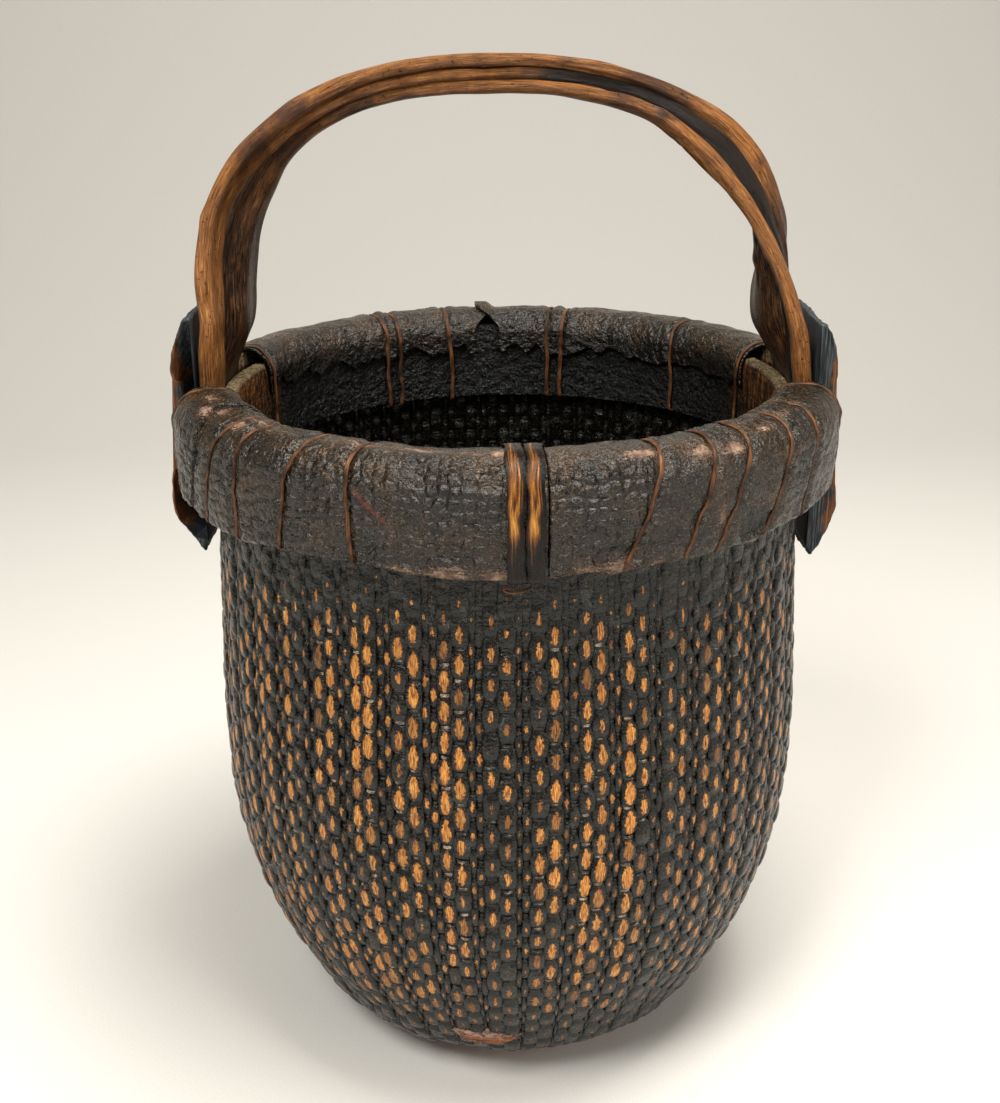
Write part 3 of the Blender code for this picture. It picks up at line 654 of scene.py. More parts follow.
# %% Finish of the rods
def worn_willow():
    """Black lacquer over willow: wet, mottled lumps, with ovals of dry golden wood."""
    finish, add = new_finish("lacquered_willow_rubbed")
    weave = add("UVMap", uv_map="weave")
    place = add("TexCoord", out="Object")
    worn = add("Attribute", attribute_name="worn", out="Fac")
    split = add("SeparateXYZ", {0: weave}, out=None)
    rod, bump = (add("Math", {0: split[axis]}, operation="FLOOR") for axis in (0, 1))
    dice = add("TexWhiteNoise", {"Vector": add("CombineXYZ", {"X": rod, "Y": bump})}, out="Color")
    chances = add("SeparateColor", {0: dice}, out=None)
    # The oval is a pointed lens: .32 of the rod's width and .43 of the bump from its middle. On
    # narrow rods, the last two of each four, it is shorter and takes more of the width
    fourth = add("Math", {0: rod, 1: 4}, operation="MODULO")
    narrow = add("Math", {0: fourth, 1: 1.5}, operation="GREATER_THAN")
    spans = []
    for axis, on_wide, on_narrow, power in ((0, 3.1, 1.75, 1.55), (1, 2.3, 3.0, 1.9)):
        span = add("Math", {0: split[axis]}, operation="FRACT")
        span = add("Math", {0: span, 1: 0.5}, operation="SUBTRACT")
        span = add("Math", {0: span}, operation="ABSOLUTE")
        scale = add("MapRange", {0: narrow, 3: on_wide, 4: on_narrow})
        span = add("Math", {0: span, 1: scale}, operation="MULTIPLY")
        spans.append(add("Math", {0: span, 1: power}, operation="POWER"))
    far = add("Math", {0: add("Math", {0: spans[0], 1: spans[1]}), 1: 0.6}, operation="POWER")
    # Ruffled edges, about 2 mm and finer
    ruffle = add("TexNoise", {"Vector": place, "Scale": 480, "Detail": 4, "Roughness": 0.65})
    ruffle = add("Math", {0: ruffle, 1: 0.5}, operation="SUBTRACT")
    far = add("Math", {0: ruffle, 1: 1.5, 2: far}, operation="MULTIPLY_ADD")
    sizes = ((0.0, 0.15), (0.16, 0.74), (0.6, 0.92), (1.0, 1.0))
    reach = add("ValToRGB", {0: chances[0]}, stops=sizes)
    reach = add("Math", {0: reach, 1: worn}, operation="MULTIPLY")
    gone = add("Math", {0: reach, 1: far}, operation="SUBTRACT")
    bare = add("MapRange", {0: gone, 1: -0.02, 2: 0.06})
    edge = add("MapRange", {0: gone, 1: 0.20, 2: 0.0})
    # Fibres run along the rod: .3 mm across, 6 mm long
    fibre = streaks(add, weave, (16, 3.2, 1), 4, 0.66, Distortion=0.4)
    golden = ((0.30, "4E260C"), (0.43, "9A5820"), (0.54, "D08C3C"), (0.70, "EDB865"))
    wood = add("ValToRGB", {0: fibre}, stops=golden)
    # Dirt keeps to the middle of many ovals, and some are hardly rubbed at all
    core = add("MapRange", {0: far, 1: 0.05, 2: 0.42, 3: 1.0, 4: 0.0})
    dirty = add("MapRange", {0: chances[2], 1: 0.35, 2: 0.95})
    streak = add("MapRange", {0: fibre, 1: 0.58, 2: 0.44})
    for share in (dirty, streak):
        core = add("Math", {0: core, 1: share}, operation="MULTIPLY")
    wood = add("MixRGB", {0: core, 1: wood, 2: paint("4A240F")})
    pale = add("ValToRGB", {0: chances[1]}, stops=((0.0, 0.34), (0.22, 0.72), (0.55, 0.95), (1.0, 1.0)))
    wood = add("HueSaturation", {"Value": pale, "Color": wood})
    edge = add("Math", {0: edge, 1: 0.8}, operation="MULTIPLY")
    wood = add("MixRGB", {0: edge, 1: wood, 2: paint("6A3413")})
    # Mottling of the lacquer: a noise of 1 mm called dust, lumps of 4 mm and grey patches of 8 mm. The palest
    # specks of the 1 mm noise and the grey patches are painted highlights, glints and sheen on the wet
    # lacquer
    dust, lumps, cloud = (
        add("TexNoise", {"Vector": place, "Scale": scale, "Detail": detail, "Roughness": rough})
        for scale, detail, rough in ((900, 5, 0.72), (230, 3, 0.6), (120, 3, 0.6))
    )
    # The lightest stops of this ramp are painted glints on the lacquer
    blacks_and_painted_glints = ((0.36, "030202"), (0.49, "080705"), (0.57, "15130C"), (0.63, "2E2C22"), (0.71, "625F52"))
    lacquer = add("ValToRGB", {0: dust}, stops=blacks_and_painted_glints)
    # Grey patches painted in as sheen on the lacquer
    painted_sheen = add("MapRange", {0: cloud, 1: 0.56, 2: 0.68, 3: 0, 4: 0.60})
    painted_sheen_spots = add("MapRange", {0: dust, 1: 0.44, 2: 0.60})
    painted_sheen = add("Math", {0: painted_sheen, 1: painted_sheen_spots}, operation="MULTIPLY")
    lacquer = add("MixRGB", {0: painted_sheen, 1: lacquer, 2: paint("555955")})
    # The wood is darker towards the foot
    height = add("SeparateXYZ", {0: place}, out="Z")
    low = add("MapRange", {0: height, 1: 0.035, 2: 0.110, 3: 0.50, 4: 1.0})
    wood = add("HueSaturation", {"Value": low, "Color": wood})
    skin = add("MixRGB", {0: bare, 1: lacquer, 2: wood})
    gloss = add("MapRange", {0: dust, 1: 0.40, 2: 0.64, 3: 0.13, 4: 0.34})
    rough = add("Math", {0: bare, 1: 0.26, 2: gloss}, operation="MULTIPLY_ADD")
    relief = 0.5
    for part, weight in ((lumps, 1.0), (dust, 0.12), (bare, -0.22), (fibre, 0.14)):
        relief = add("Math", {0: part, 1: weight, 2: relief}, operation="MULTIPLY_ADD")
    return coat(finish, skin, rough, relief, 0.0014, ior=1.42)


willow = worn_willow()
for made in quarters + [floor_rods]:
    dress(made, willow, "woven_willow", "woven_body")

# %% [markdown]
# ## Hemp cord
# The cords are dark with the same lacquer, but where they stand proud they are worn to pale
# grey-brown fibre. Random worn stretches, a centimetre or so long, leave some bars pale.

# %% Finish of the cords
def hemp_cord():
    """Hemp dipped in lacquer: matt and dark, with eight pale threads where the rods are rubbed."""
    finish, add = new_finish("hemp_cord_lacquered")
    place = add("TexCoord", out="Object")
    lay = add("SeparateXYZ", {0: add("UVMap", uv_map="lay")}, out="Y")
    thread = add("Math", {0: lay, 1: 2 * math.pi * 8}, operation="MULTIPLY")
    thread = add("Math", {0: thread}, operation="COSINE")
    worn = add("Attribute", attribute_name="worn", out="Fac")
    patch = add("TexNoise", {"Vector": place, "Scale": 150, "Detail": 3, "Roughness": 0.6})
    fuzz = add("TexNoise", {"Vector": place, "Scale": 1500, "Detail": 3})
    pale = add("ValToRGB", {0: fuzz}, stops=((0.35, "6A5848"), (0.50, "A89682"), (0.70, "E0D3C2")))
    dark = add("ValToRGB", {0: fuzz}, stops=((0.35, "0B0A09"), (0.70, "24211D")))
    share = patch
    for part, weight in ((worn, 0.34), (thread, 0.05)):
        share = add("Math", {0: part, 1: weight, 2: share}, operation="MULTIPLY_ADD")
    share = add("MapRange", {0: share, 1: 0.83, 2: 0.93})
    skin = add("MixRGB", {0: share, 1: dark, 2: pale})
    relief = add("Math", {0: thread, 1: 0.4, 2: fuzz}, operation="MULTIPLY_ADD")
    rough = add("MapRange", {0: share, 3: 0.40, 4: 0.85})
    return coat(finish, skin, rough, relief, 0.0004, 0.9)


hemp = hemp_cord()
for made in cords:
    dress(made, hemp, "woven_willow", "woven_body")

# %% [markdown]
# ## Sheets over the rim
# Four dark sheets are wrapped over the two hoops, from the lining inside to the skirt outside.
# They were soft when they were put on, and shrank onto the hoops, so they are lumpy, pinched
# where the lacing pulls, and ragged along the bottom. A sheet is a grid, bent over the line of
# the rim and lifted by one relief function. The lacing uses the same function, so it stays on
# the sheet wherever the sheet goes.

# %% The line over the rim
SKIRT_BOTTOM = 0.3515
SKIRT_FULL = 0.3783
RIM_RADIUS = 0.1900
RIM_TOP = 0.4097
LINING_RADIUS = 0.1517
LINING_BOTTOM = 0.3560
OUTER_CENTRE, OUTER_ROLL = (0.1727, 0.3924), 0.0173
INNER_CENTRE, INNER_ROLL = (0.1667, 0.3947), 0.0150


def arc(centre, radius, first, last, steps=16):
    """Points of (radius, height) along an arc, angles in degrees."""
    angles = np.radians(np.linspace(first, last, steps + 1))
    return [(centre[0] + radius * math.cos(a), centre[1] + radius * math.sin(a)) for a in angles]


OVER_RIM = [(RIM_RADIUS - 0.0025, SKIRT_BOTTOM), (RIM_RADIUS, SKIRT_FULL)]
OVER_RIM += arc(OUTER_CENTRE, OUTER_ROLL, 0, 90) + arc(INNER_CENTRE, INNER_ROLL, 90, 180)
rim = follow(OVER_RIM + [(LINING_RADIUS, LINING_BOTTOM)], 0.004)
loop = follow(OVER_RIM + [(LINING_RADIUS, SKIRT_BOTTOM)], 0.004, closed=True)
RIM_LENGTH = rim["whole"]
SHEET_RADIUS = 0.18
print("over the rim in mm:", round(1000 * RIM_LENGTH, 1))

# %% Where the cane lies
# Azimuth and slant in degrees, as the solids have them
LACING = {
    1: (-145, 22), 2: (-136.5, 7), 3: (-125.5, 14), 4: (-114, 0), 5: (-70, 20),
    6: (-60.5, 18), 7: (-54, 22), 8: (-43.5, 22), 9: (-33.5, 12), 10: (121, 0),
    11: (117.5, 0), 12: (104, 2), 13: (79, 1), 14: (75.5, -1), 15: (44.5, 3),
}
RIM_MIDDLE = (RIM_RADIUS + LINING_RADIUS) / 2
COVER_REACH = 0.0490
SEAM = 0.0004 / RIM_MIDDLE
STRAP_WIDTH = 0.0090
FRONT_SEAM = STRAP_AZIMUTH + 0.0105 / RIM_RADIUS
BACK_SEAM = math.radians(94)
FRONT_END = math.asin((HANDLE_Y - COVER_REACH) / RIM_MIDDLE)
BACK_END = math.asin((HANDLE_Y + COVER_REACH) / RIM_MIDDLE)
COVERS = {
    "front_left": (-math.pi - FRONT_END, FRONT_SEAM - SEAM),
    "front_right": (FRONT_SEAM + SEAM, FRONT_END),
    "back_right": (BACK_END, BACK_SEAM - SEAM),
    "back_left": (BACK_SEAM + SEAM, math.pi - BACK_END),
}
BINDING = 0.0045 / RIM_MIDDLE
BINDINGS = {
    "front_left": COVERS["front_left"][0] + BINDING,
    "front_right": COVERS["front_right"][1] - BINDING,
    "back_right": COVERS["back_right"][0] + BINDING,
    "back_left": COVERS["back_left"][1] - BINDING,
}
LASHINGS = [(math.radians(turn), math.radians(slant)) for turn, slant in LACING.values()]
LASHINGS += [(turn, 0.0) for turn in BINDINGS.values()]
print("covers in degrees:", {name: np.degrees(ends).round(1).tolist() for name, ends in COVERS.items()})

# %% How the sheets rise and fall
EDGE_HEIGHTS = np.array((
    (-180, 0.3515), (-151, 0.3497), (-144.8, 0.3507), (-137.1, 0.3512), (-128.3, 0.3537),
    (-122.1, 0.3550), (-114, 0.3545), (-103.3, 0.3522), (-92, 0.3500), (-82.3, 0.3520),
    (-74.1, 0.3522), (-67.1, 0.3527), (-59, 0.3539), (-51, 0.3531), (-38.7, 0.3550),
    (-10, 0.3530), (60, 0.3525), (120, 0.3500), (180, 0.3515),
))
# Each line is pairs of azimuth in degrees and length over the rim in mm
END_SHEET = (
    (-156, 0), (-153, 14), (-148.6, 36), (-148, 50), (-149.6, 60), (-150.5, 68), (-148, 80), (-145, 92),
)
LAYER_EDGES = (
    ((-78.5, 15.0), (-76, 15.5), (-72.7, 15.2), (-70.2, 14.4), (-67.6, 14.0)),
    ((-71.5, 13.0), (-68.5, 16.5), (-66, 21.0), (-63.8, 24.4), (-60.6, 28.6), (-58, 26)),
    ((-57.5, 24.5), (-54.5, 24.0), (-52.7, 23.0), (-49, 21.5), (-46.9, 19.8), (-44.4, 11.0), (-41, 9.5)),
)
CREASES = (
    ((-105, 59.0), (-102, 60.0), (-99.5, 58.6), (-95, 60.2), (-92, 57.8), (-89.6, 58.6)),
    ((-104, 53.0), (-100, 52.4), (-97, 50.2), (-94, 49.6), (-91.5, 47.0), (-89.5, 47.6)),
    ((-96, 55.6), (-94, 53.6), (-92, 53.9), (-89.6, 51.8)),
    ((-157.5, 4), (-156.2, 13), (-153.2, 23), (-151.6, 35), (-150.8, 43)),
    ((-158.6, 10), (-156.6, 22), (-154.8, 33), (-153, 40)),
    ((-85.2, 52), (-83.4, 49.5), (-82.6, 44.2), (-81.4, 42.6)),
    ((-84.6, 43), (-84.9, 33), (-84.3, 22), (-84.6, 12)),
)
# How far each mark stands out of the sheets or lies in them
PEBBLE_HEIGHT, LAP_RISE, LAP_GROOVE, LAYER_DROP, LAYER_LIP = 0.00042, 0.0013, 0.0006, 0.0006, 0.0003
CREASE_DEPTH, HOLE_DEPTH, FOLD_RISE, DEEPEST = 0.0007, 0.0019, 0.0022, 0.0016
PINCH_DEPTH, PINCH_BULGE, PINCH_REACH = 0.0013, 0.00045, 0.0030
# Millimetres along the rim for each radian
RIM_MM = 187
HOLE = ((-53.2, 22.6), (-46.8, 18.9), (-44.6, 9.4), (-47.7, 6.4), (-52.4, 3.0))


def near_line(azimuth, length, points):
    """Distance in mm from a line of (azimuth, length), and both places and line in mm."""
    rough = np.column_stack((azimuth * 190, length * 1000))
    rough = uneven(rough, (1.1, 9.0, 52), (0.7, 3.2, 53))
    flat = np.column_stack((azimuth * RIM_MM, length * 1000 + rough))
    marks = np.array([(math.radians(turn) * RIM_MM, reach) for turn, reach in points])
    nearest = np.full(len(azimuth), 1e3)
    for start, stop in zip(marks[:-1], marks[1:]):
        way = stop - start
        share = np.clip(((flat - start) @ way) / (way @ way), 0, 1)
        nearest = np.minimum(nearest, np.linalg.norm(flat - start - share[:, None] * way, axis=1))
    return nearest, flat, marks


def in_hole(azimuth, length):
    """1 inside the torn hole, 0 outside it."""
    nearest, flat, marks = near_line(azimuth, length, HOLE + HOLE[:1])
    inside = np.ones(len(azimuth), bool)
    for start, stop in zip(marks[:-1], marks[1:]):
        way = stop - start
        inside &= way[0] * (flat[:, 1] - start[1]) - way[1] * (flat[:, 0] - start[0]) < 0
    return rise(np.where(inside, nearest, -nearest), -0.2, 1.2)


def print_share(azimuth, length):
    """Where the weave below printed itself into the soft sheet."""
    degrees = np.degrees(azimuth)
    spot = around(SHEET_RADIUS, azimuth, length)
    patchy = 0.5 + 0.5 * rise(ripples(spot, 0.05, 44), -0.9, 0.3)
    smooth = rise(degrees, -70.5, -67) * (1 - rise(degrees, -46, -40)) + 0.6 * rise(degrees, -40, -34)
    return patchy * (1 - 0.85 * np.clip(smooth, 0, 1)) * (1 - 0.8 * rise(length, 0.050, 0.062))


def rim_relief(azimuth, length):
    """How far the sheets stand out from their plain line, in metres."""
    height = on_line(rim, length)[1]
    spot = around(SHEET_RADIUS, azimuth, length)
    lift = 0.0003 + uneven(spot, (0.0008, 0.070, 41), (0.00040, 0.020, 42), (0.00016, 0.008, 43))
    pebbles = ripples(spot * np.array((1, 1, 1.2)), 0.0062, 45, 11)
    lift += PEBBLE_HEIGHT * print_share(azimuth, length) * pebbles
    front = np.sin(azimuth) < 0
    nearest, flat, marks = near_line(azimuth, length, END_SHEET)
    edge_turn = np.interp(flat[:, 1], marks[:, 1], marks[:, 0])
    over = rise(edge_turn - flat[:, 0], -0.3, 0.9) * front * (np.cos(azimuth) < 0)
    lift += LAP_RISE * over - LAP_GROOVE * hump(nearest, 0, 0.9) * front
    for points in LAYER_EDGES:
        nearest, flat, marks = near_line(azimuth, length, points)
        beside, above = flat.T
        level = np.interp(beside, marks[:, 0], marks[:, 1])
        first, last = marks[0, 0], marks[-1, 0]
        window = rise(beside, first, first + 3) * (1 - rise(beside, last - 3, last))
        below = (1 - rise(above, level - 0.6, level + 0.4)) * rise(above, level - 14, level - 5)
        lift -= LAYER_DROP * window * below * front
        lift += LAYER_LIP * hump(nearest, 0, 0.8) * front
    for points in CREASES:
        lift -= CREASE_DEPTH * hump(near_line(azimuth, length, points)[0], 0, 1.5) * front
    lift -= HOLE_DEPTH * in_hole(azimuth, length) * front
    for turn, slant in LASHINGS:
        aside = (azimuth - turn + math.pi) % (2 * math.pi) - math.pi
        away = aside * RIM_MM / 1000 - math.tan(slant) * (height - SKIRT_FULL)
        lift -= PINCH_DEPTH * hump(away, 0, PINCH_REACH)
        lift += PINCH_BULGE * hump(np.abs(away), 0.0062, PINCH_REACH)
    # Below the straps the sheets are pressed flat, and beside them stands a small fold
    strap = (azimuth - STRAP_AZIMUTH) * RIM_RADIUS
    lift = lift - (lift - 0.0001) * hump(strap, 0, 0.011)
    fold = hump(np.degrees(azimuth), -81.6, 0.9) * hump(length, 0.0655, 0.0045)
    lift += FOLD_RISE * fold * front
    inside = rise(length, 0.096, 0.105)
    return np.maximum(lift, -DEEPEST) * (1 - 0.4 * inside)


def cover_reach(azimuth):
    """The lengths at which a sheet starts, along its ragged skirt, and ends, in its lining."""
    spot = np.column_stack((np.cos(azimuth), np.sin(azimuth))) * SHEET_RADIUS
    wavy = uneven(spot, (0.0010, 0.030, 47), (0.0006, 0.009, 48))
    start = np.interp(np.degrees(azimuth), EDGE_HEIGHTS[:, 0], EDGE_HEIGHTS[:, 1]) - SKIRT_BOTTOM
    ragged = uneven(spot, (0.0035, 0.045, 49), (0.0025, 0.014, 50))
    # The lining is torn shorter at the back
    short = 0.023 * rise(np.sin(azimuth), -0.1, 0.35)
    return start + wavy, RIM_LENGTH - 0.006 - short + ragged


front_relief = rim_relief(np.array([-1.8, -1.2]), np.array([0.03, 0.03]))
print("relief at the front in mm:", (1000 * front_relief).round(2))

# %% Where the sheets are rubbed, cracked and torn
# Azimuth in degrees, length over the rim, half its width and half its height in mm, and strength
RUBBED = np.array((
    (-155, 68, 12, 6, 0.75), (-150.5, 60, 7, 4, 1.0), (-147, 66, 6, 5, 0.9), (-139, 62, 7, 5, 0.9),
    (-137.5, 72, 7, 5, 0.8), (-131, 66, 9, 4, 0.5), (-114, 70, 14, 3, 0.8), (-104, 70, 18, 3, 0.9),
    (-96, 67, 10, 3, 0.7), (-91, 66, 7, 5, 1.1), (-82, 69, 8, 3, 0.6), (-70, 60, 11, 4, 1.05),
    (-60, 56, 8, 5, 0.95), (-54, 54, 9, 5, 1.0), (-45, 60, 10, 3, 0.8), (-38, 64, 12, 4, 0.7),
    (-106, 3, 12, 4, 0.8), (-99, 3, 14, 5, 0.95), (-92, 1, 10, 6, 1.0), (-79, 3, 10, 4, 0.8),
    (-74, 4, 9, 6, 0.9), (-71.5, 11, 3, 5, 0.8), (-68, 3, 4, 4, 0.8), (-57, 22, 3, 6, 1.0),
    (-56, 10, 2, 4, 0.7), (-50, 2, 5, 2, 0.8), (150, 68, 20, 6, 0.6), (60, 68, 24, 5, 0.6),
    (20, 68, 16, 5, 0.5), (115, 69, 14, 4, 0.4),
))


def mark_sheet(sheet, azimuth, length):
    """Keeps what happened to the skin at each corner, for its finish."""
    rubbed = 0
    for turn, reach, wide, tall, strength in RUBBED:
        away = (azimuth - math.radians(turn)) * RIM_MM / wide
        rubbed = np.maximum(rubbed, strength * np.exp(-(away**2) - ((length * 1000 - reach) / tall) ** 2))
    # The hem is scuffed all round
    rubbed = np.maximum(rubbed, 0.55 * np.exp(-((length * 1000 / 3.2) ** 2)))
    front = np.sin(azimuth) < 0
    cracked = 0.9 * hump(near_line(azimuth, length, END_SHEET)[0], 0, 0.7)
    for points in CREASES:
        cracked = np.maximum(cracked, 0.7 * hump(near_line(azimuth, length, points)[0], 0, 0.7))
    rough_end = hump(np.degrees(azimuth), -155, 2.2) * (1 - rise(length, 0.036, 0.046))
    cracked = np.maximum(cracked, 0.55 * rough_end)
    edges = 0
    for points in LAYER_EDGES:
        edges = np.maximum(edges, hump(near_line(azimuth, length, points)[0], 0, 0.8))
    red = hump(near_line(azimuth, length, ((-112.4, 41.5), (-110.6, 35), (-107.8, 28.5)))[0], 0, 0.9)
    mark(sheet, "rubbed", rubbed)
    mark(sheet, "cracked", cracked * front)
    mark(sheet, "wet_edge", edges * front)
    mark(sheet, "torn", in_hole(azimuth, length) * front)
    mark(sheet, "red_stroke", red * front)
    mark(sheet, "printed", print_share(azimuth, length))


print("places that are rubbed:", len(RUBBED))

# %% Four sheets
COVER_STEP = 0.0010
COVER_THICKNESS = 0.0019
covers = {}
for name, (first, last) in COVERS.items():
    columns = int((last - first) * RIM_RADIUS / COVER_STEP)
    rows = int(RIM_LENGTH / COVER_STEP)
    sheet, across, along = flat_grid(f"rim_sheet_{name}", columns, rows)
    azimuth = first + across * (last - first)
    azimuth = np.where(azimuth > math.pi, azimuth - 2 * math.pi, azimuth)
    starts, ends = cover_reach(azimuth)
    length = starts + along * (ends - starts)
    wander = 0.010 * ripples(np.column_stack((length, 0 * length + first)), 0.03, 51)
    edge = np.minimum(across, 1 - across) * (last - first)
    azimuth = azimuth + wander * hump(edge, 0, 0.02) * (np.abs(np.sin(first + across * (last - first))) < 0.6)
    lift = rim_relief(azimuth, length)
    # At the back seam one sheet laps over the other, and over the rim both draw apart
    if name == "back_right":
        lap = 0.030 + 0.020 * hump(length, 0.066, 0.012) - 0.075 * rise(length, 0.074, 0.094)
        azimuth = azimuth + (lap + wander) * rise(azimuth, last - 0.10, last)
        lap_lift = 0.0021 + 0.0022 * hump(length, 0.068, 0.009)
        lift = lift + lap_lift * rise(azimuth, BACK_SEAM - 0.035, BACK_SEAM + 0.006)
    if name == "back_left":
        azimuth = azimuth + 0.060 * rise(length, 0.078, 0.096) * (1 - rise(azimuth, first, first + 0.11))
    radius, height, out, up = on_line(rim, length)
    # The hem turns in
    lift = lift - 0.0012 * rise(1 - along, 0.985, 1.0)
    u, v = grid_chart(sheet)
    bend(sheet, around(radius + lift * out, azimuth, height + lift * up))
    mark_sheet(sheet, azimuth, length)
    loop_azimuth = first + u * (last - first)
    starts, ends = cover_reach(np.where(loop_azimuth > math.pi, loop_azimuth - 2 * math.pi, loop_azimuth))
    chart(sheet, "hide", loop_azimuth * RIM_MM, 1000 * (starts + v * (ends - starts)))
    chart(sheet, "OFBake", 0.002 + 0.996 * u, 0.002 + 0.49 * v)
    thicken(sheet, COVER_THICKNESS)
    # The inner faces of the shell go to the other half of the sheet's map
    loops = np.zeros(len(sheet.data.loops) * 2)
    sheet.data.uv_layers["OFBake"].data.foreach_get("uv", loops)
    loops = loops.reshape(-1, 2)
    loops[4 * columns * rows : 8 * columns * rows, 1] += 0.5
    sheet.data.uv_layers["OFBake"].data.foreach_set("uv", loops.ravel())
    pick(sheet)
    bpy.ops.object.shade_smooth()
    covers[name] = sheet
print("sheets:", {name: len(sheet.data.polygons) for name, sheet in covers.items()})

# %% [markdown]
# ## Lacing of split cane
# Thin strands of split cane sew the sheets down. Each one goes right round the rim and through
# the wall under the skirt. A strand is half round, because cane is split from a round stem, and
# its width is uneven. One closed tube is bent for every place. Below the two straps at the front
# a thin end of cane has come loose and curls up, so a short ribbon is bent for it.

# %% Strands and bindings
# Heights in metres, and how golden the outside of a strap is there
GOLD_BY_HEIGHT = (
    (0.352, 0.362, 0.372, 0.380, 0.395, 0.404, RIM_TOP),
    (0.05, 0.15, 0.40, 0.95, 1.0, 0.7, 0.45),
)


def cane_loop(name, turn, slant, aside, width, thickness, clearance, sides, steps, seed):
    """A closed loop of split cane round the rim."""
    piece, turns, along = flat_grid(name, sides, steps)
    u, v = grid_chart(piece)
    length = along * loop["whole"]
    radius, height, out, up = on_line(loop, length)
    wobble = np.column_stack((np.cos(2 * math.pi * along), np.sin(2 * math.pi * along))) * 0.022
    wide = width * (1 + 0.16 * ripples(wobble, 0.012, seed))
    drift = 0.0007 * ripples(wobble, 0.020, seed + 1)
    cos, sin = np.cos(2 * math.pi * turns), np.sin(2 * math.pi * turns)
    side = aside + drift + math.tan(slant) * (height - SKIRT_FULL)
    azimuth = turn + np.arctan2(side, radius)
    lift = rim_relief(azimuth, np.minimum(length, RIM_LENGTH))
    lift = lift * (1 - rise(length, RIM_LENGTH - 0.02, RIM_LENGTH)) * rise(length, 0, 0.004)
    flat = np.sign(sin) * np.abs(sin) ** 0.8
    lift = lift + clearance + thickness * (0.5 + 0.5 * flat)
    fibres = np.column_stack((turns * width * 3, length * 0.05))
    lift -= 0.00012 * np.abs(ripples(fibres, 0.0016, seed + 2)) * (sin > 0.2)
    tangential = side + wide / 2 * np.sign(cos) * np.abs(cos) ** 0.8
    x = np.sqrt((radius + lift * out) ** 2 - side**2)
    places = np.column_stack((
        x * math.cos(turn) - tangential * math.sin(turn),
        x * math.sin(turn) + tangential * math.cos(turn),
        height + lift * up,
    ))
    # The lower end is tucked under the sheet's edge
    edge_height = np.interp(math.degrees(turn), EDGE_HEIGHTS[:, 0], EDGE_HEIGHTS[:, 1])
    tuck = (edge_height - SKIRT_BOTTOM + 0.0004) * (1 - rise(height, SKIRT_BOTTOM, SKIRT_BOTTOM + 0.012))
    places[:, 2] += tuck
    bend(piece, places)
    outside = rise(sin, 0.0, 0.3) * (length < RIM_LENGTH * 0.62)
    across = np.sign(cos) * np.abs(cos) ** 0.8
    by_height = np.interp(height, *GOLD_BY_HEIGHT)
    mark(piece, "gold", outside * by_height * hump(across, -0.25, 0.62))
    chart(piece, "grain", u * 2.6 * width * 1000, v * loop["whole"] * 1000)
    chart(piece, "OFBake", v * 0.998 + 0.001, 0.002 + 0.996 * u)
    smooth_tube(piece)
    return piece


strands = {}
for number, (turn, slant) in LACING.items():
    strands[f"lacing_{number:02d}"] = cane_loop(
        f"cane_strand_{number:02d}", math.radians(turn), math.radians(slant), 0.0,
        0.0025, 0.0012, -0.0002, 8, 170, 100 + 3 * number,
    )
for place, (name, turn) in enumerate(BINDINGS.items()):
    strands["binding_" + name] = cane_loop(
        "cane_end_tie_" + name, turn, 0.0, 0.0, 0.0026, 0.0012, 0.00035, 8, 170, 180 + 3 * place
    )
straps = {}
for name, side in (("left", -1), ("right", 1)):
    straps["cane_strap_" + name] = cane_loop(
        "split_cane_" + name, STRAP_AZIMUTH, 0.0, side * (STRAP_WIDTH + 0.0003) / 2,
        STRAP_WIDTH * 0.985, 0.0016, 0.0007, 24, 300, 210 + 3 * side,
    )
print("loops of cane:", len(strands) + len(straps))

# %% A loose end of cane below the straps
CURL_MIDDLE = (math.radians(-89.6), 0.3462)
CURL_WIDE, CURL_TALL, CURL_OPEN = 0.0060, 0.0026, 0.85
curl, across, along = flat_grid("cane_loose_end", 4, 60)
turn = 2 * math.pi * (0.30 + CURL_OPEN * along)
grow = 0.75 + 0.5 * along
aside = CURL_WIDE * grow * np.cos(turn) + 0.0030 * along
height = CURL_MIDDLE[1] + CURL_TALL * grow * np.sin(turn) + 0.0030 * along
bend(curl, around(0.1880 - 0.0024 * across, CURL_MIDDLE[0] + aside / 0.188, height))
chart(curl, "grain", grid_chart(curl)[0] * 2.4, grid_chart(curl)[1] * 38)
thicken(curl, 0.0005)
bpy.ops.object.shade_smooth_by_angle(angle=math.radians(40))
print("loose end:", len(curl.data.polygons), "faces")

# %% [markdown]
# ## The twisted handle
# Three long branches are bent over the basket together. At each foot they stand side by side,
# and over the arch the row of three makes half a turn. Two of them have a butt end, split and
# flat, and a thin tip at the other side. A branch is a tube along that path, with ridges of
# grain, knots and cracks pushed into its skin.

# %% The path of a branch
LEG_CENTRE = 0.1675
LEG_BOTTOM = 0.3362
LEG_TOP = 0.4017
ARCH_HALF_SPAN, ARCH_BASE, ARCH_RISE, ARCH_LEAN = 0.1561, 0.4385, 0.1316, 0.0078
SQUARENESS = 2 / 2.44
APEX_WIDTH, TIP_WIDTH, MIDDLE_WIDTH, BUTT_WIDTH = 0.0065, 0.0110, 0.0160, 0.0430


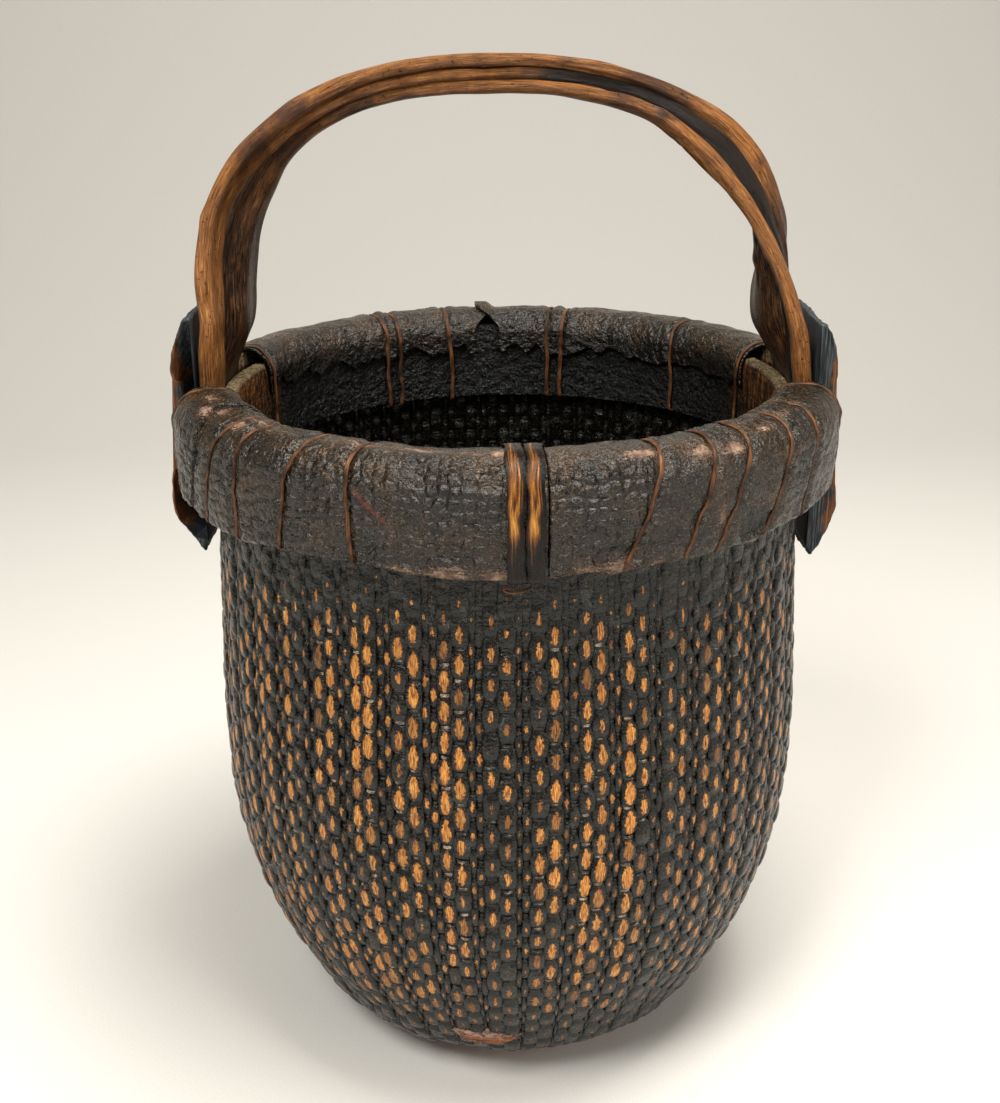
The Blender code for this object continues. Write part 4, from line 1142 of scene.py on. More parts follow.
def arch_line():
    """Points along the middle of the handle, with each point's share of the way over."""
    share = np.linspace(0, 1, 200)
    angle = math.pi * (1 - share)
    across = np.sign(np.cos(angle)) * np.abs(np.cos(angle)) ** SQUARENESS
    up = np.sin(angle).clip(0) ** SQUARENESS
    height = ARCH_BASE + ARCH_RISE * up
    reach = ARCH_HALF_SPAN * across - ARCH_LEAN * (height - RIM_TOP) / (ARCH_BASE + ARCH_RISE - RIM_TOP)
    legs = np.linspace(LEG_BOTTOM, LEG_TOP, 16)
    x = np.concatenate((np.full(16, -LEG_CENTRE), reach, np.full(16, LEG_CENTRE)))
    z = np.concatenate((legs, height, legs[::-1]))
    return x, z, np.concatenate((np.zeros(16), share, np.ones(16)))


x, z, share = arch_line()
gone = np.concatenate(([0], np.cumsum(np.hypot(np.diff(x), np.diff(z)))))
ARCH_LENGTH = gone[-1]
even = np.linspace(0, ARCH_LENGTH, 900)


def softened(values, window=31):
    """A list of numbers with its corners rounded and its ends kept."""
    half = window // 2
    before = 2 * values[0] - values[half:0:-1]
    after = 2 * values[-1] - values[-2 : -half - 2 : -1]
    padded = np.concatenate((before, values, after))
    return np.convolve(padded, np.ones(window) / window, "valid")


ARCH = {
    "length": even,
    "x": softened(np.interp(even, gone, x)),
    "z": softened(np.interp(even, gone, z)),
    "share": softened(np.interp(even, gone, share)),
}
print("handle length in mm:", round(1000 * ARCH_LENGTH, 1))

# %% The three branches
BRANCH_SIDES = 32
BRANCH_ROWS = 420
LEG_THICKNESS, ARCH_THICKNESS, THINNER_AT_TOP = 0.0104, 0.0204, 0.0097
APEX_GAP, LEG_GAP = 0.0002, 0.0050
CRACK, OUTWARD, FOOT_POWER = 0.0011, 0.0050, 3.5
SHOULDER_WIDTHS, LATE_SHARE = (0.0020, 0.0040, 0.0035), 0.075
# Share of the way over, share of the way round the branch, and height in metres
KNOTS = {
    "front": ((0.235, 0.30, 0.0010), (0.340, 0.20, 0.0012), (0.585, 0.28, 0.0013), (0.80, 0.22, 0.0014)),
    "middle": ((0.255, 0.25, 0.0012), (0.300, 0.30, 0.0011), (0.66, 0.22, 0.0010), (0.74, 0.70, 0.0010)),
    "back": ((0.20, 0.30, 0.0012), (0.38, 0.72, 0.0010), (0.640, 0.76, 0.0014), (0.79, 0.28, 0.0010)),
}


def branch_shade(name, share):
    """Where a branch is black with torn fibres, where it is stained, and where it is rubbed gold. At the
    right the middle branch is marked for black, a painted shade in the gap between the other two.
    """
    if name == "front":
        return rise(share, 0.80, 0.92), 0.9 * hump(share, 0.70, 0.12) + 0.5 * hump(share, 0.26, 0.10)
    # For the middle branch the second number rises to 2 at the right, which the finish paints near black as
    # the shade between the other two
    if name == "middle":
        return 0 * share, 2.0 * rise(share, 0.49, 0.56)
    return 1 - rise(share, 0.05, 0.30), 0.9 * hump(share, 0.26, 0.14)


def branch(name, which, seed):
    """One branch: its middle, width and thickness change along the arch, and its skin is rough."""
    piece, turns, along = flat_grid("branch_" + name, BRANCH_SIDES, BRANCH_ROWS)
    u, v = grid_chart(piece)
    length = along * ARCH_LENGTH
    x, z, share = (np.interp(length, ARCH["length"], ARCH[key]) for key in ("x", "z", "share"))
    # The way ahead along the arch, as a direction of length 1
    ahead = [np.interp(length, ARCH["length"], np.gradient(ARCH[key])) for key in ("x", "z")]
    size = np.hypot(*ahead)
    ahead_x, ahead_z = ahead[0] / size, ahead[1] / size
    near = (1 - np.clip(2 * share, 0, 1)) ** FOOT_POWER
    far = (1 - np.clip(2 - 2 * share, 0, 1)) ** FOOT_POWER
    rest = 1 - near - far
    widths = np.array((
        APEX_WIDTH * rest + TIP_WIDTH * near + BUTT_WIDTH * far,
        APEX_WIDTH * rest + MIDDLE_WIDTH * (near + far),
        APEX_WIDTH * rest + BUTT_WIDTH * near + TIP_WIDTH * far,
    ))
    # Over the right shoulder the handle is broader, and its half turn comes late
    shoulder = hump(share, 0.79, 0.08)
    widths += shoulder * np.array(SHOULDER_WIDTHS)[:, None]
    late = LATE_SHARE * np.sin(math.pi * np.clip((share - 0.68) / 0.32, 0, 1)) ** 2
    space = APEX_GAP * rest + LEG_GAP * (near + far)
    # At its foot the wide branch is thick and lies inside, and the two slender ones lie outside it
    foot = {"front": (1, -0.15), "middle": (1, 1), "back": (-0.15, 1)}[name]
    at_left, at_right = 1 - rise(share, 0.12, 0.30), rise(share, 0.70, 0.88)
    slender = (at_left * (foot[0] > 0) + at_right * (foot[1] > 0)).clip(0, 1)
    outward = OUTWARD * (foot[0] * at_left - foot[1] * at_right)
    whole = widths.sum(axis=0) + 2 * space
    middle = -whole / 2 + widths[:which].sum(axis=0) + which * space + widths[which] / 2
    # A slit stays open at the left, and the middle branch lies sunk between the others at the right
    middle += 0.0030 * hump(share, 0.165, 0.055) * (which == 2)
    width = widths[which] + 0.0010 * rest
    thin = np.sin(math.pi * share)
    arch = rise(z, 0.402, 0.436)
    thickness = LEG_THICKNESS * (1 - arch) + arch * (ARCH_THICKNESS - THINNER_AT_TOP * thin)
    sunk = rise(share, 0.50, 0.60) * arch if name == "middle" else 0 * share
    thickness = thickness * (1 - 0.35 * sunk) * (1 - 0.52 * slender * arch)
    turn = math.pi * (share - late)
    band = np.column_stack((ahead_z * np.sin(turn), np.cos(turn), -ahead_x * np.sin(turn)))
    forward = np.column_stack((ahead_x, 0 * ahead_x, ahead_z))
    across = np.cross(forward, band)
    cos, sin = np.cos(2 * math.pi * turns), np.sin(2 * math.pi * turns)
    boxy = 0.62 + 0.25 * thin
    flat = np.sign(cos) * np.abs(cos) ** boxy
    round_ = np.sign(sin) * np.abs(sin) ** boxy
    torn, dull = branch_shade(name, share)
    skin = np.column_stack((cos * width * 0.5, sin * thickness * 0.5, length * 0.05))
    rough = uneven(skin, (0.00050, 0.010, seed), (0.00030, 0.0040, seed + 1)) * (1 + 1.3 * torn)
    lumps = np.column_stack((cos * 0.01, sin * 0.01, length))
    rough += 0.00045 * ripples(lumps, 0.035, seed + 2)
    knots = 0
    for place, side, tall in KNOTS[name]:
        near_knot = hump((length / ARCH_LENGTH - place) * ARCH_LENGTH, 0, 0.005)
        around_knot = hump(((turns - side + 0.5) % 1 - 0.5), 0, 0.13)
        knots = knots + tall * near_knot * around_knot * arch
    crack = -CRACK * hump(ripples(skin, 0.012, seed + 3), 0, 0.05)
    crack *= rise(ripples(lumps, 0.09, seed + 4), -0.1, 0.4)
    grow = (rough * (0.4 + 0.6 * arch) + knots + crack * arch) - 0.0002
    sideways = (width / 2 + grow) * flat
    through = (thickness / 2 + grow) * round_
    centre = np.column_stack((x, np.full_like(x, HANDLE_Y), z))
    through = through + outward * arch
    places = centre + band * (middle + sideways)[:, None] + across * through[:, None]
    bend(piece, places)
    mark(piece, "torn", torn)
    mark(piece, "dull", dull)
    mark(piece, "knot", np.clip(knots / 0.0012, 0, 1) + 0 * z)
    mark(piece, "height", z)
    chart(piece, "grain", u * 60, v * ARCH_LENGTH * 1000)
    chart(piece, "OFBake", v * 0.998 + 0.001, 0.002 + 0.996 * u)
    close_tube(piece)
    return piece


branches = {
    name: branch(name, which, 300 + 10 * which)
    for which, name in enumerate(("front", "middle", "back"))
}
print("branches:", {name: len(piece.data.polygons) for name, piece in branches.items()})

# %% [markdown]
# ## The carved side blocks
# Outside each pair of legs a block of hardwood is pegged on. It was sawn to an outline, a lobe
# above the rim and a tail below, and its edges have worn round. The outline runs across the
# basket like a tube along Y, with its last rows drawn in to make the worn edges. The outline is a
# list of shares of the block's depth and height, and the right block's lobes stand out less.

# %% Two blocks
BLOCK_FACE, BLOCK_DEPTH, BLOCK_HEIGHT, BLOCK_WIDTH = 0.1730, 0.0185, 0.1370, 0.0820
BLOCK_SIDES, BLOCK_ROWS = 220, 84
RIGHT_INSET = 0.30
# The left block stands higher by the shift, and the right one lower
BLOCK_TOP, BLOCK_SHIFT = 0.4430, 0.0035
# At the five last rows of each end: how far the skin is drawn in, and the depth from the end
EDGE_DRAWS = (0.0014, 0.0007, 0.0003, 0.0001, 0)
EDGE_DEPTHS = (0.0, 0.0003, 0.0010, 0.0021, 0.0036)
BLOCK_SHARES = (
    (0.00, 1.000), (0.24, 0.992), (0.42, 0.937), (0.58, 0.893), (0.70, 0.851), (0.75, 0.790),
    (0.68, 0.745), (0.48, 0.715), (0.40, 0.640), (0.42, 0.460), (0.62, 0.405), (0.88, 0.380),
    (1.02, 0.324), (1.06, 0.230), (0.90, 0.150), (0.56, 0.080), (0.30, 0.022), (0.12, 0.000),
    (0.00, 0.050),
)


def block(name, side, seed):
    """A block as a closed outline carried across the basket."""
    bottom = BLOCK_TOP - BLOCK_HEIGHT - side * BLOCK_SHIFT
    inset = RIGHT_INSET if side > 0 else 0
    shares = [(out - inset * max(out - 0.42, 0), up) for out, up in BLOCK_SHARES]
    outline = [(BLOCK_FACE + BLOCK_DEPTH * out, bottom + BLOCK_HEIGHT * up) for out, up in shares]
    line = follow(outline[::-1], 0.0025, closed=True)
    rows = BLOCK_ROWS
    piece, turns, along = flat_grid("carved_block_" + name, BLOCK_SIDES, rows)
    radius, height, out, up = on_line(line, turns * line["whole"])
    inner = rise(BLOCK_FACE + 0.0006 - radius, 0, 0.0005)
    # Rows crowd at the two ends, where the edge is worn round
    place = np.clip(along * rows, 0, rows)
    end = np.minimum(place, rows - place)
    draw = np.interp(end, range(5), EDGE_DRAWS)
    back = np.interp(end, range(5), EDGE_DEPTHS)
    step = (BLOCK_WIDTH - 2 * EDGE_DEPTHS[-1]) / (rows - 8)
    y = np.where(end < 4, back, EDGE_DEPTHS[-1] + (end - 4) * step)
    y = np.where(place < rows / 2, -BLOCK_WIDTH / 2 + y, BLOCK_WIDTH / 2 - y)
    spot = np.column_stack((radius * 3, y * 2.2, height * 0.35))
    carve = uneven(spot, (0.0005, 0.012, seed), (0.0002, 0.005, seed + 1))
    wide = np.column_stack((radius, y, height))
    carve += 0.0005 * ripples(wide, 0.05, seed + 2)
    lift = carve * (1 - inner) - draw * (0.35 + 0.65 * (1 - inner))
    slant = 0.0008 * ripples(np.column_stack((height, radius)), 0.03, seed + 3) * np.sign(y)
    x = side * (radius + lift * out)
    y = HANDLE_Y + y + slant * (end < 5) - 0.0009 * np.sign(y)
    bend(piece, np.column_stack((x, y, height + lift * up)))
    outward = rise(radius, BLOCK_FACE + 0.004, BLOCK_FACE + 0.013)
    mark(piece, "outward", outward * (0.7 + 0.3 * rise(end, 1.0, 4.0)))
    close_tube(piece)
    # The two ends stay flat when the rest is shaded smooth
    pick(piece)
    bpy.ops.object.mode_set(mode="EDIT")
    bpy.ops.mesh.select_mode(type="FACE")
    bpy.ops.mesh.select_all(action="DESELECT")
    bpy.ops.mesh.select_face_by_sides(number=4, type="GREATER", extend=False)
    bpy.ops.mesh.faces_shade_flat()
    bpy.ops.object.mode_set(mode="OBJECT")
    return piece


blocks = {"left": block("left", -1, 400), "right": block("right", 1, 410)}
print("blocks:", {name: len(piece.data.polygons) for name, piece in blocks.items()})

# %% [markdown]
# ## Sheet, cane and wood finishes
# Each finish starts from what it is. The sheets are lacquered hide or bark, with a fine pebble
# and rubbed high places. The cane is brown and fibrous. The handle is a peeled branch, golden
# where hands rubbed it and stained dark elsewhere. The blocks are grey lacquered hardwood.

# %% Finish of the sheets
def lacquered_sheet():
    """Shrunk hide under lacquer: pebbled, waxy and nearly black, rubbed to a dry tan where hands go."""
    finish, add = new_finish("hide_shrunk_and_lacquered")
    place = add("TexCoord", out="Object")
    hide_in = add("UVMap", uv_map="hide")
    printed, rubbed, cracked, torn, wet, red = (
        add("Attribute", attribute_name=name, out="Fac")
        for name in ("printed", "rubbed", "cracked", "torn", "wet_edge", "red_stroke")
    )
    # Pebbles of 6.2 by 5.8 mm, pushed a little out of their rows
    push = add("TexNoise", {"Vector": place, "Scale": 70, "Detail": 2}, out="Color")
    cells = add("Mapping", {"Vector": hide_in, "Scale": (1 / 6.2, 1 / 5.8, 1)})
    cells = add("VectorMath", {0: push, 1: (1.3, 1.3, 0), 2: cells}, operation="MULTIPLY_ADD")
    pebbles = {"Vector": cells, "Scale": 1, "Randomness": 0.55}
    pebble = add(
        "TexVoronoi", {**pebbles, "Smoothness": 0.25}, feature="SMOOTH_F1", voronoi_dimensions="2D"
    )
    cut = add("TexVoronoi", pebbles, feature="DISTANCE_TO_EDGE", voronoi_dimensions="2D")
    # Lumps of 5 mm, grime of 1.3 mm, and clouds of 24 mm
    lumps, grime, cloud = (
        add("TexNoise", {"Vector": place, "Scale": scale, "Detail": detail, "Roughness": rough})
        for scale, detail, rough in ((210, 3, 0.55), (760, 5, 0.68), (42, 4, 0.6))
    )
    # Hair lines run along the rim: .5 mm across and 14 mm long
    lines = streaks(add, hide_in, (0.07, 1.9, 1), 3, 0.6)
    browns = ((0.30, "0D0A07"), (0.44, "1B150D"), (0.56, "291E11"), (0.70, "3A2918"), (0.80, "251D13"))
    base = add("ValToRGB", {0: cloud}, stops=browns)
    tint = add("MapRange", {0: grime, 1: 0.40, 2: 0.66, 3: 0.30, 4: 2.10})
    base = add("HueSaturation", {"Value": tint, "Color": base})
    # Dark between the pebbles: painted shade in the pits, as if lit from above. The same mask also lowers the
    # relief there
    pits_painted_dark = add("MapRange", {0: cut, 1: 0.02, 2: 0.20, 3: 0.95, 4: 0.0})
    patchy = add("MapRange", {0: lumps, 1: 0.41, 2: 0.54})
    for share in (patchy, printed):
        pits_painted_dark = add("Math", {0: pits_painted_dark, 1: share}, operation="MULTIPLY")
    # Pale specks: painted glints on the lacquer
    painted_glint = add("MapRange", {0: grime, 1: 0.59, 2: 0.68, 3: 0, 4: 0.65})
    # Worn through where the rub and the grime add up
    rub = add("Math", {0: lines, 1: 0.95, 2: grime}, operation="MULTIPLY_ADD")
    rub = add("Math", {0: rubbed, 1: 0.56, 2: rub}, operation="MULTIPLY_ADD")
    rub = add("MapRange", {0: rub, 1: 1.27, 2: 1.42, 3: 0, 4: 0.92})
    dry = add("ValToRGB", {0: lumps}, stops=((0.36, "4A3628"), (0.50, "7C6250"), (0.66, "A48A70")))
    # The lining and what is left of it stay black
    inward = add("SeparateXYZ", {0: hide_in}, out="Y")
    deep = add("MapRange", {0: inward, 1: 88, 2: 104, 3: 0, 4: 0.85})
    warm = add("Math", {0: rubbed, 1: 0.22}, operation="MULTIPLY")
    stroke = add("Math", {0: red, 1: 0.8}, operation="MULTIPLY")
    # Bare wood of the hoop in the torn hole, with upright grain
    upright = streaks(add, hide_in, (1.3, 0.09, 1), 4, 0.65)
    bare = ((0.34, "0D0C0B"), (0.54, "2A2825"), (0.68, "4B453D"), (0.78, "7A4E2C"))
    bare = add("ValToRGB", {0: upright}, stops=bare)
    split = add("Math", {0: grime, 1: 0.9, 2: cracked}, operation="MULTIPLY_ADD")
    split = add("MapRange", {0: split, 1: 1.02, 2: 1.20, 3: 0, 4: 0.95})
    for share, colour in (
        (pits_painted_dark, paint("0C0A09")), (painted_glint, paint("8A7159")), (rub, dry), (deep, paint("090808")),
        (warm, paint("6A4A36")), (stroke, paint("6E2F22")), (torn, bare), (split, paint("070606")),
    ):
        base = add("MixRGB", {0: share, 1: base, 2: colour})
    rough = add("MapRange", {0: grime, 1: 0.42, 2: 0.64, 3: 0.13, 4: 0.34})
    for part, weight in ((rub, 0.30), (wet, -0.14)):
        rough = add("Math", {0: part, 1: weight, 2: rough}, operation="MULTIPLY_ADD")
    pebble = add("Math", {0: pebble, 1: printed}, operation="MULTIPLY")
    height = 0.5
    for part, weight in (
        (pebble, -0.95), (lumps, 1.30), (grime, 0.10), (lines, 0.20), (pits_painted_dark, -0.25), (split, -0.5),
        (rub, -0.10),
    ):
        height = add("Math", {0: part, 1: weight, 2: height}, operation="MULTIPLY_ADD")
    return coat(finish, base, rough, height, 0.0024, ior=1.46)


hide = lacquered_sheet()
for name, sheet in covers.items():
    dress(sheet, hide, "rim_cover", "cover_" + name)

# %% Finishes of the cane
def smoked_cane():
    """Split cane in smoke and lacquer: silky fibres, stained nearly black in stretches."""
    finish, add = new_finish("cane_strand_smoked")
    # Fibres of .4 mm across and 10 mm long
    fibre = streaks(add, add("UVMap", uv_map="grain"), (2.6, 0.10, 1), 4, 0.65)
    place = add("TexCoord", out="Object")
    stain = add("TexNoise", {"Vector": place, "Scale": 110, "Detail": 4, "Roughness": 0.6})
    browns = ((0.34, "2A170D"), (0.48, "583620"), (0.60, "80532F"), (0.74, "B08656"))
    skin = add("ValToRGB", {0: fibre}, stops=browns)
    share = add("MapRange", {0: stain, 1: 0.42, 2: 0.60, 3: 0, 4: 0.88})
    skin = add("MixRGB", {0: share, 1: skin, 2: paint("231812")})
    rough = add("MapRange", {0: stain, 3: 0.30, 4: 0.6})
    return coat(finish, skin, rough, fibre, 0.0006, 0.8, DUSTY_IOR)


def rubbed_strap():
    """Wide split cane under black lacquer, rubbed to glossy gold along its middle."""
    finish, add = new_finish("cane_strap_rubbed")
    grain_in = add("UVMap", uv_map="grain")
    # Fibres of .6 mm across and 16 mm long, and splits of 2 mm by 29 mm
    fibre = streaks(add, grain_in, (1.7, 0.06, 1), 5, 0.7)
    wide = streaks(add, grain_in, (0.45, 0.035, 1), 3, 0.6)
    gold = add("Attribute", attribute_name="gold", out="Fac")
    tone = fibre
    for part, weight in ((gold, 0.42), (wide, 0.7)):
        tone = add("Math", {0: part, 1: weight, 2: tone}, operation="MULTIPLY_ADD")
    golds = ((0.50, "070504"), (0.61, "20130A"), (0.70, "70431A"), (0.78, "B87C34"), (0.88, "E0B468"))
    skin = add("ValToRGB", {0: add("Math", {0: tone, 1: 0.62}, operation="MULTIPLY")}, stops=golds)
    place = add("TexCoord", out="Object")
    dust = add("TexNoise", {"Vector": place, "Scale": 700, "Detail": 4, "Roughness": 0.65})
    speck = add("MapRange", {0: dust, 1: 0.60, 2: 0.70, 3: 0, 4: 0.6})
    skin = add("MixRGB", {0: speck, 1: skin, 2: paint("15100C")})
    rough = add("MapRange", {0: dust, 1: 0.4, 2: 0.65, 3: 0.16, 4: 0.42})
    return coat(finish, skin, rough, tone, 0.0008, 0.8, DUSTY_IOR)


lacing_cane = smoked_cane()
strap_cane = rubbed_strap()
for name, strand in strands.items():
    dress(strand, lacing_cane, "lacing_cane", name)
for name, strap in straps.items():
    dress(strap, strap_cane, "split_cane", name)
dress(curl, lacing_cane, "lacing_cane")

# %% Finish of the handle
def branch_wood():
    """A peeled branch: golden brown and satin where it is rubbed, black and torn at its butt."""
    finish, add = new_finish("peeled_branch_hand_rubbed")
    grain_in = add("UVMap", uv_map="grain")
    place = add("TexCoord", out="Object")
    torn, dull, knot, height = (
        add("Attribute", attribute_name=name, out="Fac") for name in ("torn", "dull", "knot", "height")
    )
    # Streaks of .5 mm by 12 mm, cracks of .7 mm by 45 mm, stains of 38 mm and specks of 2 mm
    streak = streaks(add, grain_in, (1.9, 0.085, 1), 5, 0.62, Distortion=0.3)
    thin = streaks(add, grain_in, (1.5, 0.022, 1), 2, 0.5, location=(7, 3, 0))
    stain = add("TexNoise", {"Vector": place, "Scale": 26, "Detail": 4, "Roughness": 0.62})
    speck = add("TexNoise", {"Vector": place, "Scale": 520, "Detail": 4, "Roughness": 0.7})
    gold, dark, stained = (add("ValToRGB", {0: streak}, stops=stops) for stops in (
        ((0.30, "2E160A"), (0.42, "643817"), (0.53, "8C5726"), (0.68, "BE8C50")),
        ((0.32, "0A0604"), (0.44, "22140C"), (0.55, "4A2E19"), (0.66, "7E5631"), (0.78, "AE7A46")),
        ((0.30, "140B06"), (0.55, "3A1F10"), (0.75, "7A441C")),
    ))
    share = add("Math", {0: dull, 1: 0.16, 2: stain}, operation="MULTIPLY_ADD")
    share = add("MapRange", {0: share, 1: 0.53, 2: 0.68, 3: 0.0, 4: 0.85})
    # Where the middle branch lies between the other two at the right, its wood is painted near black as the
    # shade in that gap
    gap_painted_black = add("MapRange", {0: dull, 1: 1.1, 2: 1.9, 3: 0, 4: 0.93})
    ring = add("Math", {0: knot, 1: 0.9, 2: speck}, operation="MULTIPLY_ADD")
    ring = add("MapRange", {0: ring, 1: 0.95, 2: 1.25, 3: 0, 4: 0.8})
    split = add("MapRange", {0: thin, 1: 0.385, 2: 0.345, 3: 0, 4: 0.9})
    foot = add("MapRange", {0: height, 1: 0.425, 2: 0.395, 3: 0, 4: 0.5})
    black = add("MapRange", {0: speck, 1: 0.42, 2: 0.34, 3: 0, 4: 0.75})
    skin = gold
    for share, colour in (
        (share, stained), (torn, dark), (gap_painted_black, paint("090604")), (ring, paint("2A150B")),
        (split, paint("0A0604")), (foot, paint("20120A")), (black, paint("120B07")),
    ):
        skin = add("MixRGB", {0: share, 1: skin, 2: colour})
    relief = streak
    for part, weight in ((speck, 0.30), (split, -0.5)):
        relief = add("Math", {0: part, 1: weight, 2: relief}, operation="MULTIPLY_ADD")
    rough = add("MapRange", {0: speck, 1: 0.35, 2: 0.65, 3: 0.26, 4: 0.50})
    return coat(finish, skin, rough, relief, 0.0012, 0.85, 1.38)


peeled = branch_wood()
for name, piece in branches.items():
    dress(piece, peeled, "handle_wood", "handle_branch_" + name)

# %% Finish of the blocks
def block_wood():
    """Lacquered hardwood: blue-black with an upright grain, rubbed to a dull brown outside."""
    finish, add = new_finish("hardwood_lacquered_grey")
    place = add("TexCoord", out="Object")
    # Grain of .8 mm by 22 mm
    grain = streaks(add, place, (1250, 700, 45), 5, 0.65, Distortion=0.4)
    cloud = add("TexNoise", {"Vector": place, "Scale": 75, "Detail": 4, "Roughness": 0.6})
    grey, brown = (add("ValToRGB", {0: grain}, stops=stops) for stops in (
        ((0.34, "131414"), (0.46, "26292C"), (0.56, "3D4246"), (0.68, "656B70")),
        ((0.32, "3A2114"), (0.48, "6A4024"), (0.62, "8A5930"), (0.75, "AC7C4E")),
    ))
    outward = add("Attribute", attribute_name="outward", out="Fac")
    worn = add("Math", {0: outward, 1: 0.55, 2: cloud}, operation="MULTIPLY_ADD")
    worn = add("MapRange", {0: worn, 1: 0.72, 2: 0.86, 3: 0, 4: 0.95})
    skin = add("MixRGB", {0: worn, 1: grey, 2: brown})
    rough = add("MapRange", {0: grain, 1: 0.3, 2: 0.7, 3: 0.34, 4: 0.58})
    return coat(finish, skin, rough, grain, 0.0011, 0.9, DUSTY_IOR)


hardwood = block_wood()
for name, piece in blocks.items():
    dress(piece, hardwood, "block_wood", "side_block_" + name)

# %% [markdown]
# ## Hoops, ring, battens and pegs
# These solids are plain already, so they keep their shape and only get a finish. The hoops are
# lacquered black, but the inner one is bare at both legs, where it shows between the sheets. The
# ring is worn brown where the basket stands on it. The long batten's ends are split, so it gets a
# rough piece of its own: a cube, cut finer, with its corners moved by ripples that run along the
# wood. In front of it the wall is worn down to a crescent of split wood. No solid has that form,
# so it is a bent sheet laid on the wall.

# %% The split batten
BATTEN_SIZE = (0.0400, 0.2110, 0.0115)
BATTEN_MIDDLE = (-0.0165, 0.0, 0.01405)

pick()
bpy.ops.mesh.primitive_cube_add(size=1)
batten = bpy.context.object
batten.name = batten.data.name = "split_batten_long"
edit(batten, ("subdivide", {"number_cuts": 39}))
spot = corners(batten)
near_end = rise(np.abs(spot[:, 1]), 0.42, 0.5)
places = spot * np.array(BATTEN_SIZE)
grain_spot = places * np.array((1, 0.12, 1))
places[:, 2] += (0.0007 * ripples(grain_spot, 0.006, 500) - 0.0004) * (0.4 + near_end) * np.sign(spot[:, 2])
places[:, 1] -= np.sign(spot[:, 1]) * near_end * (0.0016 + 0.0014 * ripples(grain_spot, 0.005, 501))
places[:, 1] -= np.sign(spot[:, 1]) * near_end * 0.010 * (2 * np.abs(spot[:, 0])) ** 2.2
bend(batten, places + np.array(BATTEN_MIDDLE))
pick(batten)
bpy.ops.object.shade_smooth_by_angle(angle=math.radians(40))
print("batten:", len(batten.data.polygons), "faces")

# %% The worn end of the sole
SOLE_MIDDLE, SOLE_HALF, SOLE_TALL = -0.0150, 0.0210, 0.014
SOLE_LOW, SOLE_HIGH = 0.0345, 0.0495
wall_radii, wall_heights = np.array(WALL_POINTS).T
sole, across, along = flat_grid("worn_sole_end", 70, 26)
aside = 2 * across - 1
spot = np.column_stack((aside * SOLE_HALF, along * SOLE_TALL, 0 * along))
low = SOLE_LOW + 0.0125 * np.abs(aside) ** 2.3
high = SOLE_HIGH + 0.0008 * ripples(spot, 0.005, 510) + 0.0035 * hump(aside, 0.02, 0.10)
height = low + along * (high - low)
swollen = np.sqrt((1 - aside**2).clip(0) * 4 * along * (1 - along))
lift = -0.0012 + 0.0036 * swollen + 0.0007 * ripples(spot * np.array((0.3, 1, 1)), 0.0028, 511) * swollen
radius = np.interp(height, wall_heights, wall_radii) + lift
bend(sole, around(radius, -np.arccos((SOLE_MIDDLE + SOLE_HALF * aside) / radius), height))
thicken(sole, 0.0012)
bpy.ops.object.shade_smooth_by_angle(angle=math.radians(50))
print("sole end:", len(sole.data.polygons), "faces")

# %% Finishes of the hoops and the foot
def hoop_wood():
    """Bamboo hoops in black lacquer, bare and pale on the top edge where the handle stands."""
    finish, add = new_finish("bamboo_hoop_lacquered")
    place = add("TexCoord", out="Object")
    axes = add("SeparateXYZ", {0: place}, out=None)
    dust = add("TexNoise", {"Vector": place, "Scale": 700, "Detail": 5, "Roughness": 0.7})
    lumps = add("TexNoise", {"Vector": place, "Scale": 210, "Detail": 4, "Roughness": 0.65})
    grain = streaks(add, place, (420, 420, 60), 4, 0.6)
    black, brown, pale = (add("ValToRGB", {0: noise}, stops=stops) for noise, stops in (
        (dust, ((0.38, "040404"), (0.52, "0F0F0E"), (0.62, "24241F"), (0.70, "55574F"))),
        (grain, ((0.34, "1A0F08"), (0.48, "4A2C16"), (0.60, "7A4C26"), (0.74, "A0703E"))),
        (grain, ((0.34, "4A3A28"), (0.50, "7E6D50"), (0.68, "A3926E"))),
    ))
    # Legs stand beyond 12 cm from the middle, and the top edge starts at 39.8 cm
    side = add("Math", {0: axes["X"]}, operation="ABSOLUTE")
    legs = add("MapRange", {0: side, 1: 0.118, 2: 0.142})
    top = add("MapRange", {0: axes["Z"], 1: 0.3975, 2: 0.3995})
    low = add("MapRange", {0: axes["Z"], 1: 0.372, 2: 0.392, 3: 0.35, 4: 0.85})
    beside = add("MapRange", {0: side, 1: 0.1380, 2: 0.1500})
    low = add("Math", {0: beside, 1: low}, operation="MULTIPLY")
    top = add("Math", {0: top, 1: legs}, operation="MULTIPLY")
    skin = add("MixRGB", {0: low, 1: black, 2: brown})
    skin = add("MixRGB", {0: top, 1: skin, 2: pale})
    rough = add("MapRange", {0: dust, 1: 0.38, 2: 0.64, 3: 0.12, 4: 0.50})
    return coat(finish, skin, rough, lumps, 0.0045, ior=DUSTY_IOR)


